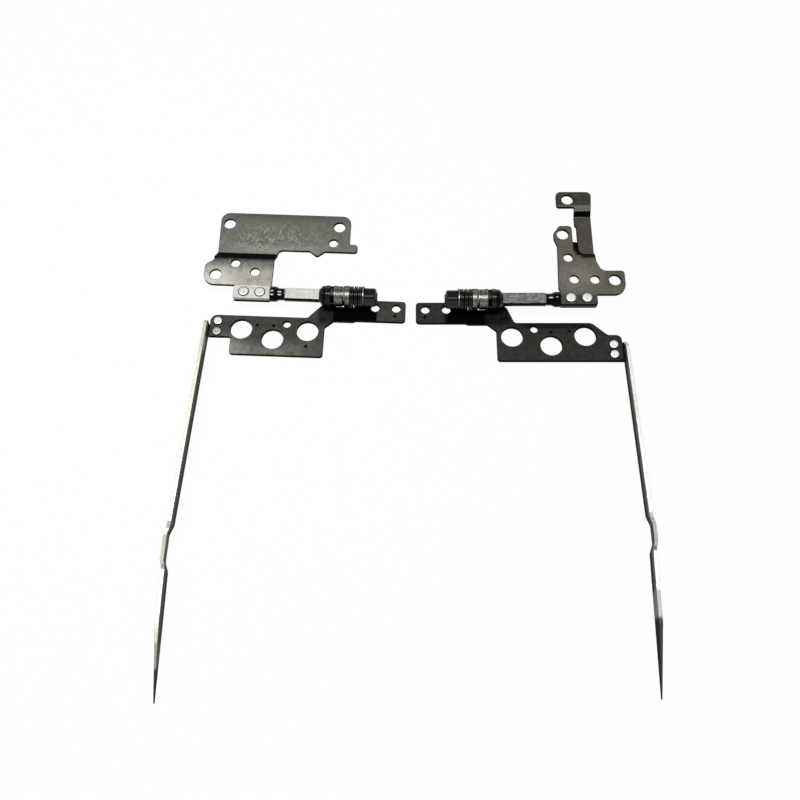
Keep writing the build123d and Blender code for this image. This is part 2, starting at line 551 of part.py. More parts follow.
def make_right_base_bracket(rivets):
    """Right base bracket: a plate on top of the paddle, a lower strip beside its horn, and a raised flag."""
    plate_bottom = -SANDWICH + PADDLE_THICKNESS
    plate_top = plate_bottom + BASE_SHEET
    paddle = paddle_start(RIGHT_FLATS_LENGTH)
    tab_bottom = -PADDLE_WIDTH / 2
    collar_side = COLLAR_RADIUS + COLLAR_CLEARANCE
    step_side = RIGHT_STEP - RIGHT_STEP_ROUND
    wall_side = RIGHT_STRIP_INNER - RIGHT_STEP_ROUND
    horn_cut_x, horn_cut_y = RIGHT_HORN_CUT
    outline = [
        (paddle, tab_bottom, PADDLE_CORNER), (paddle + PADDLE_LENGTH, tab_bottom, PADDLE_CORNER),
        (paddle + PADDLE_LENGTH, RIGHT_EAR_BOTTOM, 0), (RIGHT_EAR_END, RIGHT_EAR_BOTTOM, RIGHT_EAR_CORNER),
        (RIGHT_EAR_END, RIGHT_EAR_TOP, 0.9),
        (RIGHT_SHOULDER[0] + RIGHT_SHOULDER_RUN, RIGHT_EAR_TOP, RIGHT_SHOULDER_HOLLOW),
        (*RIGHT_SHOULDER, RIGHT_SHOULDER_RUN), (RIGHT_STRIP_OUTER, step_side, 0),
        (wall_side, step_side, RIGHT_STEP_CORNER + RIGHT_STEP_ROUND), (wall_side, RIGHT_SLOT_BOTTOM, 0),
        (RIGHT_HORN_OUTER, RIGHT_SLOT_BOTTOM, 0), (RIGHT_HORN_OUTER, RIGHT_HORN_TOP, 0.9),
        (RIGHT_HORN_INNER + horn_cut_x, RIGHT_HORN_TOP, 0.9),
        (RIGHT_HORN_INNER, RIGHT_HORN_TOP - horn_cut_y, 0.9),
        (RIGHT_HORN_INNER, RIGHT_SLOT_BOTTOM + 1.0, 1.5),
        (RIGHT_PLATE_INNER + 0.5, RIGHT_SLOT_BOTTOM - 1.2, 1.5),
        (RIGHT_PLATE_INNER, collar_side + PADDLE_CORNER, 0), (paddle, collar_side, 0),
    ]
    plate = prism(outline, plate_bottom, plate_top)
    strip_middle = plate_bottom + BASE_SHEET / 2 - RIGHT_STRIP_DROP
    strip_bottom = strip_middle - BASE_SHEET / 2
    flag_middle = strip_middle + RIGHT_FLAG_RISE
    flag_step = RIGHT_FLAG_BOTTOM - RIGHT_FLAG_RELIEF
    strip_start = RIGHT_STEP - BASE_SHEET / 2
    side_line = [
        (strip_start - BASE_SHEET, strip_middle), (flag_step - RIGHT_FLAG_STEP, strip_middle),
        (flag_step, flag_middle), (RIGHT_FLAG_TOP + BASE_SHEET, flag_middle),
    ]
    strip_outline = [
        (RIGHT_STRIP_INNER - BASE_SHEET / 2, strip_start, 0), (RIGHT_STRIP_OUTER, strip_start, 0),
        (RIGHT_STRIP_OUTER, flag_step, 0.6), (RIGHT_FLAG_OUTER, RIGHT_FLAG_TOP, RIGHT_FLAG_CORNER),
        (RIGHT_FLAG_INNER, RIGHT_FLAG_TOP, RIGHT_FLAG_CORNER), (RIGHT_FLAG_INNER, RIGHT_FLAG_BOTTOM, 0.8),
        (RIGHT_STRIP_INNER - RIGHT_STRIP_NOTCH, RIGHT_FLAG_BOTTOM, 0),
        (RIGHT_STRIP_INNER - RIGHT_STRIP_NOTCH, RIGHT_STRIP_NOTCH_Y, 0),
        (RIGHT_STRIP_INNER, RIGHT_STRIP_NOTCH_Y - RIGHT_STRIP_NOTCH, 0),
        (RIGHT_STRIP_INNER, RIGHT_SLOT_BOTTOM, 0), (RIGHT_STRIP_INNER - BASE_SHEET / 2, RIGHT_SLOT_BOTTOM, 0),
    ]
    span = (RIGHT_FLAG_INNER - BASE_SHEET, RIGHT_FLAG_OUTER + BASE_SHEET)
    folded = prism(folded_strip(side_line, BASE_SHEET, BEND_RADIUS), *span, Plane.YZ)
    strip = folded & prism(strip_outline, plate_bottom - 2 * RIGHT_STRIP_DROP, plate_top + RIGHT_FLAG_RISE)
    bracket = plate + strip + make_drawn_step(strip_bottom, plate_top)
    bracket = drilled(bracket, [*RIGHT_SCREW_HOLES, RIGHT_FLAG_HOLE], SCREW_HOLE_RADIUS)
    bracket = drilled(bracket, RIGHT_PIN_HOLES, PIN_HOLE_RADIUS)
    return drilled(bracket, rivets, RIVET_RADIUS + RIVET_CLEARANCE)


def rail_rivet_centres(x, y, spacing):
    """Centres of the two rivets that hold a rail's foot under its tab."""
    return [(x, y - spacing / 2), (x, y + spacing / 2)]


def make_screen_rail(tab_end, tab_top, tab_bottom, start, head_cut, jog_start, jog_length, tip, splay, rivets):
    """Upright rail that leans out to its jog, steps out and back, and leans in to a slender tip."""
    lean = math.tan(math.radians(splay))
    inner = tab_end + RAIL_GAP
    jog_x = inner + (start - jog_start) * lean
    jog_out = jog_start - RAIL_JOG_RUN
    jog_back = jog_out - jog_length
    jog_end = jog_back - RAIL_JOG_RUN
    tip_x = jog_x - (jog_end - tip) * lean
    taper_start = tip + RAIL_TAPER
    taper_x = tip_x + RAIL_TAPER * lean
    inner_side = [
        (inner, start, 0), (jog_x, jog_start, RAIL_JOG_RADIUS), (jog_x + RAIL_JOG, jog_out, RAIL_JOG_RADIUS),
        (jog_x + RAIL_JOG, jog_back, RAIL_JOG_RADIUS), (jog_x, jog_end, RAIL_JOG_RADIUS), (tip_x, tip, 0),
    ]
    outer_side = [(x + RAIL_SHEET, y, radius) for x, y, radius in inner_side[:-1]]
    outer_side.append((taper_x + RAIL_SHEET, taper_start, 2 * RAIL_JOG_RADIUS))
    outer_side.append((tip_x + RAIL_TIP_THICKNESS, tip, 0))
    top = TABLE + RAIL_HEIGHT
    jog_top = TABLE + RAIL_JOG_HEIGHT
    ramp = RAIL_JOG_RUN / 2
    side = [
        (start, TABLE, 0), (start, top - head_cut[1], RAIL_HEAD_ROUND),
        (start - head_cut[0], top, RAIL_HEAD_ROUND),
        (jog_start, top, 0.8), (jog_start - ramp, jog_top, 0.8),
        (jog_end + ramp, jog_top, 0.8), (jog_end, top, 0.8), (taper_start, top, 4.0),
        (tip, TABLE + RAIL_TIP_HEIGHT, 0.2), (tip, TABLE, 0),
    ]
    reach = jog_x + RAIL_JOG + 2 * RAIL_SHEET
    web = prism(inner_side + outer_side[::-1], TABLE, top)
    web &= prism(side, inner - reach, reach, Plane.YZ)
    foot = [
        (tab_end - FOOT_WIDTH, tab_top - FOOT_MARGIN, 0.8),
        (tab_end - FOOT_WIDTH, tab_bottom + FOOT_MARGIN, 0.8),
        (inner + RAIL_SHEET / 2, tab_bottom + FOOT_MARGIN, 0), (inner + RAIL_SHEET / 2, start, 0),
        (inner, start, 0), (tab_end - RAIL_GAP, tab_top - FOOT_MARGIN, 1.5),
    ]
    rail = web + prism(foot, TABLE, DISPLAY_BOTTOM)
    return drilled(rail, rivets, RIVET_RADIUS + RIVET_CLEARANCE)


def make_pack():
    """The pieces that both hinges share, by name."""
    return {
        "friction_washer": washer(CONE_END - FRICTION_WASHER, CONE_END, PACK_RADIUS),
        "fixed_cam": make_fixed_cam(),
        "cam_follower": make_cam_follower(),
        "disc_springs": make_disc_springs(),
        "pressure_washer": washer(PRESSURE_INNER, SPRINGS_INNER, PACK_RADIUS),
        "lock_nut": make_lock_nut(),
    }


def make_left_hinge():
    """All pieces of the left hinge, by name, as the mirror image of how it lies."""
    base_rivets = base_rivet_centres(LEFT_FLATS_LENGTH)
    rail_rivets = rail_rivet_centres(LEFT_RAIL_RIVET_X, LEFT_RAIL_RIVET_Y, LEFT_RAIL_RIVET_SPACING)
    pieces = {
        "base_bracket": make_left_base_bracket(base_rivets),
        "shaft": make_shaft(LEFT_FLATS_LENGTH, SANDWICH - PADDLE_THICKNESS),
        "base_rivets": [
            rivet(x, y, -SANDWICH, SANDWICH, BASE_RIVET_HEAD_RADIUS, True) for x, y in base_rivets],
        "display_bracket": make_display_bracket(
            left_display_outline(), LEFT_BOSS_HOLES, rail_rivets, LEFT_ARROWS),
        "screen_rail": make_screen_rail(
            LEFT_TAB_END, LEFT_MAIN_TOP, LEFT_TAB_BOTTOM, LEFT_RAIL_START, LEFT_RAIL_HEAD_CUT,
            LEFT_RAIL_JOG_START, LEFT_RAIL_JOG_LENGTH, LEFT_RAIL_TIP, LEFT_RAIL_SPLAY, rail_rivets),
        "rail_rivets": [
            rivet(x, y, TABLE, DISPLAY_TOP, RAIL_RIVET_HEAD_RADIUS, False) for x, y in rail_rivets],
    }
    return pieces | make_pack()


def make_right_hinge():
    """All pieces of the right hinge, by name."""
    base_rivets = base_rivet_centres(RIGHT_FLATS_LENGTH)
    rail_rivets = rail_rivet_centres(RIGHT_RAIL_RIVET_X, RIGHT_RAIL_RIVET_Y, RIGHT_RAIL_RIVET_SPACING)
    pieces = {
        "base_bracket": make_right_base_bracket(base_rivets),
        "shaft": make_shaft(RIGHT_FLATS_LENGTH, -SANDWICH),
        "base_rivets": [
            rivet(x, y, -SANDWICH, SANDWICH, BASE_RIVET_HEAD_RADIUS, True) for x, y in base_rivets],
        "display_bracket": make_display_bracket(
            right_display_outline(), RIGHT_BOSS_HOLES, rail_rivets, RIGHT_ARROWS),
        "screen_rail": make_screen_rail(
            RIGHT_TAB_END, RIGHT_TAB_TOP, MAIN_BOTTOM, RIGHT_RAIL_START, RIGHT_RAIL_HEAD_CUT,
            RIGHT_RAIL_JOG_START, RIGHT_RAIL_JOG_LENGTH, RIGHT_RAIL_TIP, RIGHT_RAIL_SPLAY, rail_rivets),
        "rail_rivets": [
            rivet(x, y, TABLE, DISPLAY_TOP, RAIL_RIVET_HEAD_RADIUS, False) for x, y in rail_rivets],
    }
    return pieces | make_pack()


def solids_of(piece):
    """The separate solids of a piece, which may be one shape or a list of them."""
    shapes = piece if isinstance(piece, list) else [piece]
    return [solid for shape in shapes for solid in shape.solids()]


LEFT_PLACE = Pos(-HINGE_SPACING / 2, HINGE_STAGGER / 2, 0) * Rot(0, 0, LEFT_LAY_ANGLE)
RIGHT_PLACE = Pos(HINGE_SPACING / 2, -HINGE_STAGGER / 2, 0)


def make_pair():
    """Both hinges by node name, moved so that the origin is at their bottom centre, and that move."""
    nodes = {}
    for name, piece in make_left_hinge().items():
        nodes["left_" + name] = [LEFT_PLACE * mirror(solid, about=Plane.YZ) for solid in solids_of(piece)]
    for name, piece in make_right_hinge().items():
        nodes["right_" + name] = [RIGHT_PLACE * solid for solid in solids_of(piece)]
    box = Compound([solid for solids in nodes.values() for solid in solids]).bounding_box()
    shift = Vector(-box.center().X, -box.center().Y, -box.min.Z)
    placed = {name: [Pos(*shift) * solid for solid in solids] for name, solids in nodes.items()}
    return placed, shift


def main():
    """Write each piece to its own file."""
    os.makedirs("parts", exist_ok=True)
    nodes, _ = make_pair()
    for name, solids in nodes.items():
        shape = solids[0] if len(solids) == 1 else Compound(solids)
        export_step(shape, f"parts/{name}.step")


if __name__ == "__main__":
    main()
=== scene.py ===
"""Dress a packed pair of laptop lid hinges: formed pieces, finishes, camera and studio light.

Sizes are in millimetres in each hinge's own frame unless a name says otherwise; meshes are in metres.
"""

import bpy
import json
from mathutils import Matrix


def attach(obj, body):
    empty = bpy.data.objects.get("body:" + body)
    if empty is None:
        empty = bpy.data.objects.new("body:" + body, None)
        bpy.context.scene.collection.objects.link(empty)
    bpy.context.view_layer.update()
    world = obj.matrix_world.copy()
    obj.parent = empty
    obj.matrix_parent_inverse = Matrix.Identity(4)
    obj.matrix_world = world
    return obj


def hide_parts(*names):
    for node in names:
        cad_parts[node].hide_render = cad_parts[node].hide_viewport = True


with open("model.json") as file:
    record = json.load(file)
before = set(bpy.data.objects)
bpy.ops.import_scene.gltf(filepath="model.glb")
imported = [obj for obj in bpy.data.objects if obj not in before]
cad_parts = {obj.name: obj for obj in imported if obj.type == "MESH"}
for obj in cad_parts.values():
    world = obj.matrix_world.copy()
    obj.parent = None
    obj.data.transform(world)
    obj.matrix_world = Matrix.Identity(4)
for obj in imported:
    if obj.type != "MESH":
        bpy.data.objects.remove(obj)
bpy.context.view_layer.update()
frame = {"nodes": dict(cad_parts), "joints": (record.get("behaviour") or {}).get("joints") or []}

import json
import logging
import math
from dataclasses import dataclass, replace
from enum import Enum

import bmesh
import bpy
import numpy as np

log = logging.getLogger("hinge_pair")

MM = 0.001
TURN_STEPS = 72
# Limits for cleaning up meshes, in metres and degrees.
MERGE_DISTANCE = 1e-8
SLIVER_LENGTH = 1e-9
JOIN_DISTANCE = 1e-6
FLAT_ANGLE = 0.5
EDGE_ANGLE = 35.0
# Colour of steel seen at a grazing angle, and roughness of faces that look down.
GRAZING = (60, 60, 60)
UNDERSIDE_ROUGHNESS = 0.75
# Scratches: how the pattern is stretched, and each family's turn in degrees and its shift.
SCRATCH_STRETCH = (0.42, 5.2, 1.0)
SCRATCH_FAMILIES = ((17.0, 0.0), (-38.0, 11.0), (63.0, 29.0), (-74.0, 47.0))

Colour = tuple[int, int, int]
Triple = tuple[float, float, float]
Socket = bpy.types.NodeSocket


def linear(colour: Colour) -> tuple[float, float, float, float]:
    """Turn an eight-bit display colour into the linear one that shaders take.

    Args:
        colour: red, green and blue from 0 to 255.

    Returns:
        Linear red, green, blue and a full alpha.
    """
    share = np.asarray(colour, float) / 255
    bent = np.where(share <= 0.04045, share / 12.92, ((share + 0.055) / 1.055) ** 2.4)
    return (*(float(value) for value in bent), 1.0)


class Side(Enum):
    """The two hinges of the pair."""

    LEFT = "left"
    RIGHT = "right"


class ZoneShape(Enum):
    """How a zone of a finish ends."""

    EGG = "egg"
    BOX = "box"


@dataclass(frozen=True)
class HingeFrame:
    """A hinge's own frame: origin on its axis, out towards its rail, back towards its base bracket."""

    side: Side
    origin: np.ndarray
    out: np.ndarray
    back: np.ndarray

    @classmethod
    def of(cls, side: Side) -> "HingeFrame":
        """Read the frame of one hinge from its joint.

        Args:
            side: which hinge.

        Returns:
            The hinge's frame, in the row's metres.
        """
        joint = next(row for row in frame["joints"] if row["name"] == f"{side.value}_hinge")
        axis = np.asarray(joint["axis"], float)
        out = axis if side is Side.LEFT else -axis
        across = np.array([-out[1], out[0], 0.0])
        return cls(side, np.asarray(joint["pos_m"], float), out, across * np.sign(across[1]))

    @property
    def mirrored(self) -> bool:
        """Whether this frame is a mirror image of the row's."""
        return self.side is Side.LEFT

    @property
    def turn(self) -> float:
        """Turn of the frame about the vertical, in radians."""
        return math.atan2(-self.back[0], self.back[1])

    @property
    def leaf(self) -> str:
        """Name of the body that swings."""
        return f"{self.side.value}_leaf"

    def node(self, piece: str) -> str:
        """Full name of one of this hinge's CAD nodes."""
        return f"{self.side.value}_{piece}"

    def to_row(self, points: np.ndarray) -> np.ndarray:
        """Carry points from this frame's millimetres to the row's metres.

        Args:
            points: array whose last axis is (out, back, up).

        Returns:
            The same points in the row frame.
        """
        basis = np.stack([self.out, self.back, np.array([0.0, 0.0, 1.0])])
        return self.origin + points @ basis * MM

    def node_points(self, piece: str) -> np.ndarray:
        """Vertices of a CAD node in this frame's millimetres.

        Args:
            piece: the node's name without its side.

        Returns:
            An array of (out, back, up) rows.
        """
        mesh = frame["nodes"][self.node(piece)].data
        flat = np.empty(len(mesh.vertices) * 3)
        mesh.vertices.foreach_get("co", flat)
        away = (flat.reshape(-1, 3) - self.origin) / MM
        return np.stack([away @ self.out, away @ self.back, away[:, 2]], axis=1)

    def span(self, piece: str) -> tuple[np.ndarray, np.ndarray]:
        """Lowest and highest corner of a CAD node in this frame."""
        points = self.node_points(piece)
        return points.min(axis=0), points.max(axis=0)


class Bench:
    """Node bench for one material: adds nodes, wires them and hands on their sockets."""

    def __init__(self, name: str, hinge: HingeFrame | None = None) -> None:
        """Start a material whose patterns lie in a hinge's own frame.

        Args:
            name: the material's name.
            hinge: whose frame the patterns follow; the row's own if left out.
        """
        self.material = bpy.data.materials.new(name)
        self.material.use_nodes = True
        self.tree = self.material.node_tree
        self.shader = self.tree.nodes["Principled BSDF"]
        self.coords = self.add("ShaderNodeTexCoord")
        place = self.add("ShaderNodeMapping")
        place.vector_type = "TEXTURE"
        if hinge:
            place.inputs["Location"].default_value = hinge.origin
            place.inputs["Rotation"].default_value = (0.0, 0.0, hinge.turn)
        across = -MM if hinge and hinge.mirrored else MM
        place.inputs["Scale"].default_value = (across, MM, MM)
        self.join(self.coords.outputs["Object"], place.inputs["Vector"])
        self.local = place.outputs["Vector"]

    def add(self, kind: str) -> bpy.types.Node:
        """Put a node on the bench."""
        return self.tree.nodes.new(kind)

    def join(self, source: Socket, target: Socket) -> None:
        """Wire one socket to another."""
        self.tree.links.new(source, target)

    def feed(self, target: Socket, value: "Socket | float | Triple") -> None:
        """Wire a socket, or set its plain value, whichever is given."""
        if isinstance(value, bpy.types.NodeSocket):
            self.join(value, target)
        else:
            target.default_value = value

    def stretch(self, scale: Triple, turn: float = 0.0, shift: Triple = (0.0, 0.0, 0.0)) -> Socket:
        """The hinge's coordinates, turned about the vertical and then scaled.

        Args:
            scale: how many pattern units a millimetre makes along each axis.
            turn: in degrees.
            shift: moves the pattern, in pattern units.

        Returns:
            The vector socket of a Mapping node.
        """
        node = self.add("ShaderNodeMapping")
        node.inputs["Rotation"].default_value = (0.0, 0.0, math.radians(turn))
        self.join(self.local, node.inputs["Vector"])
        squeeze = self.add("ShaderNodeMapping")
        squeeze.inputs["Scale"].default_value = scale
        squeeze.inputs["Location"].default_value = shift
        self.join(node.outputs["Vector"], squeeze.inputs["Vector"])
        return squeeze.outputs["Vector"]

    def noise(self, vector: Socket, scale: float, detail: float = 3.0, rough: float = 0.55) -> Socket:
        """Soft random pattern.

        Args:
            vector: where it is read.
            scale: pattern size, larger is finer.
            detail: octaves.
            rough: weight of the fine octaves.

        Returns:
            A socket from 0 to 1.
        """
        node = self.add("ShaderNodeTexNoise")
        node.inputs["Scale"].default_value = scale
        node.inputs["Detail"].default_value = detail
        node.inputs["Roughness"].default_value = rough
        self.join(vector, node.inputs["Vector"])
        return node.outputs["Fac"]

    def ramp(self, value: Socket, low: float, high: float,
             to_low: float = 0.0, to_high: float = 1.0) -> Socket:
        """Smooth step of a value.

        Args:
            value: what is read.
            low: value that gives to_low.
            high: value that gives to_high.
            to_low: result at and below low.
            to_high: result at and above high.

        Returns:
            The stepped value.
        """
        node = self.add("ShaderNodeMapRange")
        node.interpolation_type = "SMOOTHSTEP"
        node.inputs["From Min"].default_value = low
        node.inputs["From Max"].default_value = high
        node.inputs["To Min"].default_value = to_low
        node.inputs["To Max"].default_value = to_high
        self.join(value, node.inputs["Value"])
        return node.outputs["Result"]

    def calc(self, work: str, first: "Socket | float", second: "Socket | float" = 0.0) -> Socket:
        """One step of arithmetic on two values, kept between 0 and 1."""
        node = self.add("ShaderNodeMath")
        node.operation = work
        node.use_clamp = True
        self.feed(node.inputs[0], first)
        self.feed(node.inputs[1], second)
        return node.outputs["Value"]

    def times(self, first: Socket, second: "Socket | float") -> Socket:
        """Product of two values."""
        return self.calc("MULTIPLY", first, second)

    def most(self, first: Socket, second: Socket) -> Socket:
        """Larger of two values."""
        return self.calc("MAXIMUM", first, second)

    def opposite(self, value: Socket) -> Socket:
        """What a value leaves of 1."""
        return self.calc("SUBTRACT", 1.0, value)

    def blend(self, first: Socket, second: Socket, share: float) -> Socket:
        """Sum of two patterns, with the given share of the first."""
        return self.calc("ADD", self.times(first, share), self.times(second, 1.0 - share))

    def height(self) -> Socket:
        """Height above the hinge's axis."""
        split = self.add("ShaderNodeSeparateXYZ")
        self.join(self.local, split.inputs["Vector"])
        return split.outputs["Z"]

    def mix(self, share: Socket, first: "Socket | Colour", second: "Socket | Colour") -> Socket:
        """Blend two colours.

        Args:
            share: 0 gives the first, 1 the second.
            first: a socket or a display colour.
            second: a socket or a display colour.

        Returns:
            The blended colour.
        """
        node = self.add("ShaderNodeMix")
        node.data_type = "RGBA"
        self.join(share, node.inputs["Factor"])
        for name, value in (("A", first), ("B", second)):
            target = next(s for s in node.inputs if s.name == name and s.type == "RGBA")
            self.feed(target, linear(value) if isinstance(value, tuple) else value)
        return next(s for s in node.outputs if s.type == "RGBA")

    def patch(self, centre: Triple, reach: Triple, soft: float, shape: ZoneShape) -> Socket:
        """Egg-shaped or box-shaped patch of the hinge's space.

        Args:
            centre: its middle.
            reach: its half sizes.
            soft: share of the half size over which it fades.
            shape: egg or box.

        Returns:
            1 inside, fading to 0 at the patch's skin.
        """
        place = self.add("ShaderNodeMapping")
        place.vector_type = "TEXTURE"
        place.inputs["Location"].default_value = centre
        place.inputs["Scale"].default_value = reach
        self.join(self.local, place.inputs["Vector"])
        size = self.add("ShaderNodeVectorMath")
        size.operation = "LENGTH" if shape is ZoneShape.EGG else "ABSOLUTE"
        self.join(place.outputs["Vector"], size.inputs[0])
        if shape is ZoneShape.EGG:
            return self.ramp(size.outputs["Value"], 1.0 - soft, 1.0, 1.0, 0.0)
        split = self.add("ShaderNodeSeparateXYZ")
        self.join(size.outputs["Vector"], split.inputs["Vector"])
        level = self.most(split.outputs["X"], split.outputs["Y"])
        return self.ramp(self.most(level, split.outputs["Z"]), 1.0 - soft, 1.0, 1.0, 0.0)

    def upward(self, low: float, high: float, both: bool = False) -> Socket:
        """How much a surface faces up in its own frame, stepped between two values.

        Args:
            low: facing that gives 0.
            high: facing that gives 1.
            both: whether facing down counts as facing up does.

        Returns:
            The stepped facing.
        """
        split = self.add("ShaderNodeSeparateXYZ")
        self.join(self.coords.outputs["Normal"], split.inputs["Vector"])
        facing = self.calc("ABSOLUTE", split.outputs["Z"]) if both else split.outputs["Z"]
        return self.ramp(facing, low, high)

    def outward(self, hinge: HingeFrame, low: float, high: float) -> Socket:
        """How much a surface faces away from the other hinge, stepped between two values.

        Args:
            hinge: whose outward direction counts.
            low: facing that gives 0.
            high: facing that gives 1.

        Returns:
            The stepped facing.
        """
        along = self.add("ShaderNodeVectorMath")
        along.operation = "DOT_PRODUCT"
        along.inputs[1].default_value = hinge.out
        self.join(self.coords.outputs["Normal"], along.inputs[0])
        return self.ramp(along.outputs["Value"], low, high)

    def edges(self, radius: float, low: float = 0.02, high: float = 0.2) -> Socket:
        """Edge mask: how far the normal of a rounded copy turns from the true normal.

        Args:
            radius: how wide a band beside an edge counts.
            low: turn that starts to count.
            high: turn that counts in full.

        Returns:
            1 on edges, 0 on flats.
        """
        rounded = self.add("ShaderNodeBevel")
        rounded.samples = 6
        rounded.inputs["Radius"].default_value = radius * MM
        true = self.add("ShaderNodeNewGeometry")
        both = self.add("ShaderNodeVectorMath")
        both.operation = "DOT_PRODUCT"
        self.join(rounded.outputs["Normal"], both.inputs[0])
        self.join(true.outputs["Normal"], both.inputs[1])
        return self.ramp(both.outputs["Value"], 1.0 - high, 1.0 - low, 1.0, 0.0)

    def bump(self, height: Socket, depth: float, strength: float = 1.0) -> None:
        """Give the shader a relief of the given depth in millimetres."""
        node = self.add("ShaderNodeBump")
        node.inputs["Strength"].default_value = strength
        node.inputs["Distance"].default_value = depth * MM
        self.join(height, node.inputs["Height"])
        self.join(node.outputs["Normal"], self.shader.inputs["Normal"])

    def set(self, name: str, value: "Socket | float") -> None:
        """Feed one of the shader's own sockets."""
        self.feed(self.shader.inputs[name], value)

    def metal(self, colour: Socket, metallic: "Socket | float", roughness: Socket) -> None:
        """Feed the shader of a steel surface, which mirrors little at grazing angles."""
        self.set("Base Color", colour)
        self.set("Metallic", metallic)
        self.set("Roughness", roughness)
        self.set("Specular Tint", linear(GRAZING))

    def dull_below(self, roughness: Socket) -> Socket:
        """Roughness that stays high on faces that look down."""
        return self.most(roughness, self.calc("SUBTRACT", UNDERSIDE_ROUGHNESS, self.upward(-0.5, 0.15)))

    def tinted(self, colour: Socket, tints: "list[Tint] | tuple[Tint, ...]",
               within: Socket | None = None) -> Socket:
        """Lay tints over a colour, one after the other.

        Args:
            colour: what lies under them.
            tints: the tints in order.
            within: a mask that limits them all.

        Returns:
            The tinted colour.
        """
        for tint in tints:
            share = tint.zone.mask(self)
            if within is not None:
                share = self.times(share, within)
            colour = self.mix(share, colour, tint.colour)
        return colour


@dataclass(frozen=True)
class Zone:
    """Part of a hinge's space: its middle, its half sizes, its strength, how soft it is and its shape."""

    centre: Triple
    reach: Triple
    strength: float = 1.0
    soft: float = 0.5
    shape: ZoneShape = ZoneShape.EGG

    def mask(self, bench: Bench) -> Socket:
        """The zone as a value from 0 to its strength."""
        inside = bench.patch(self.centre, self.reach, self.soft, self.shape)
        return bench.times(inside, self.strength)


def band(low: Triple, high: Triple, strength: float = 1.0, soft: float = 0.3) -> Zone:
    """Box-shaped zone between two corners."""
    middle = tuple((a + b) / 2 for a, b in zip(low, high))
    reach = tuple((b - a) / 2 for a, b in zip(low, high))
    return Zone(middle, reach, strength, soft, ZoneShape.BOX)


@dataclass(frozen=True)
class Tint:
    """A zone of a finish given another colour; most tints are painted reflection, highlight, shade and
    shadow.
    """

    colour: Colour
    zone: Zone
    ragged: bool = True


@dataclass(frozen=True)
class SheetFinish:
    """Rolled sheet steel: cloudy oxide, light scratches, painted shade on side faces and along edges with
    painted glints flecked on the edges, tints (most of them painted reflection, highlight, shade and shadow)
    and engraved marks.
    """

    name: str
    ground: Colour
    shade: Colour
    scuff: Colour
    # rim: painted shade along every edge.
    rim: Colour
    # side: painted shade on faces that turn away from up and down; the dark grain takes it too.
    side: Colour
    # Painted glints flecked along the edges.
    edge_glint: Colour
    metallic: float = 0.85
    smooth: float = 0.44
    dull: float = 0.54
    scuff_share: float = 0.85
    edge_glint_share: float = 0.4
    grain_light: float = 0.1
    grain_dark: float = 0.12
    edge_shade_width: float = 0.32
    scuff_zones: tuple[Zone, ...] = ()
    tints: tuple[Tint, ...] = ()
    mark_floor: float | None = None
    mark_depth: float = 0.06
    sunk_mark_colour: Colour = (12, 12, 11)

    def scuffs(self, bench: Bench, cloud: Socket) -> Socket:
        """Short thin scratches in four directions and small dents, densest in the scuff zones.

        Args:
            bench: the material's bench.
            cloud: slow noise that breaks up the zones.

        Returns:
            The scratch mask.
        """
        where = bench.ramp(cloud, 0.55, 0.75, 0.0, 0.25)
        for zone in self.scuff_zones:
            where = bench.most(where, zone.mask(bench))
        marks = bench.ramp(bench.noise(bench.local, 1.7, 2.0, 0.5), 0.69, 0.76)
        for turn, shift in SCRATCH_FAMILIES:
            place = bench.stretch(SCRATCH_STRETCH, turn, (shift, shift, 0.0))
            streak = bench.noise(place, 1.0, 1.0, 0.4)
            marks = bench.most(marks, bench.ramp(streak, 0.67, 0.73))
        return bench.times(marks, bench.times(where, self.scuff_share))

    def material(self, hinge: HingeFrame) -> bpy.types.Material:
        """Make the node material.

        Args:
            hinge: whose frame the pattern follows.

        Returns:
            The finished material.
        """
        bench = Bench(f"{hinge.side.value}_{self.name}", hinge)
        cloud = bench.noise(bench.local, 0.22, 3.0, 0.5)
        mottle = bench.noise(bench.local, 0.55, 4.0, 0.55)
        grain = bench.noise(bench.local, 2.6, 3.0, 0.6)
        patchy = bench.blend(mottle, grain, 0.6)
        colour = bench.mix(bench.ramp(patchy, 0.35, 0.65), self.shade, self.ground)
        # Ragged tints, most of them painted reflection and shade, follow the mottle.
        ragged = bench.ramp(patchy, 0.36, 0.6, 0.5, 1.0)
        colour = bench.tinted(colour, [tint for tint in self.tints if tint.ragged], ragged)
        colour = bench.mix(bench.ramp(grain, 0.5, 0.72, 0.0, self.grain_light), colour, self.scuff)
        colour = bench.mix(bench.ramp(grain, 0.28, 0.5, self.grain_dark, 0.0), colour, self.side)
        scuffed = self.scuffs(bench, cloud)
        colour = bench.mix(scuffed, colour, self.scuff)
        # Plain-edged tints, painted shade and shadow (one over oil) and one painted highlight, skip the
        # underside.
        above = bench.upward(-0.6, -0.2)
        colour = bench.tinted(colour, [tint for tint in self.tints if not tint.ragged], above)
        # Painted shade: faces that are neither flat up nor flat down take the side colour.
        colour = bench.mix(bench.upward(0.84, 0.985, True), self.side, colour)
        # Painted shade drawn along every edge.
        rim = bench.edges(self.edge_shade_width, 0.004, 0.07)
        colour = bench.mix(rim, colour, self.rim)
        # Painted highlight: small glints flecked along the edges.
        glint_flecks = bench.ramp(bench.noise(bench.local, 1.6, 4.0, 0.7), 0.6, 0.7, 0.0, self.edge_glint_share)
        colour = bench.mix(bench.times(rim, glint_flecks), colour, self.edge_glint)
        # Sunk marks take a darker colour.
        if self.mark_floor is not None:
            sunk = bench.ramp(bench.height(), self.mark_floor, self.mark_floor + self.mark_depth, 1.0, 0.0)
            sunk = bench.times(sunk, bench.upward(0.5, 0.9))
            colour = bench.mix(sunk, colour, self.sunk_mark_colour)
        bench.metal(colour, self.metallic, bench.ramp(mottle, 0.25, 0.75, self.dull, self.smooth))
        relief = bench.calc("ADD", bench.times(grain, 0.25), bench.times(scuffed, 0.5))
        bench.bump(relief, 0.01, 0.25)
        return bench.material


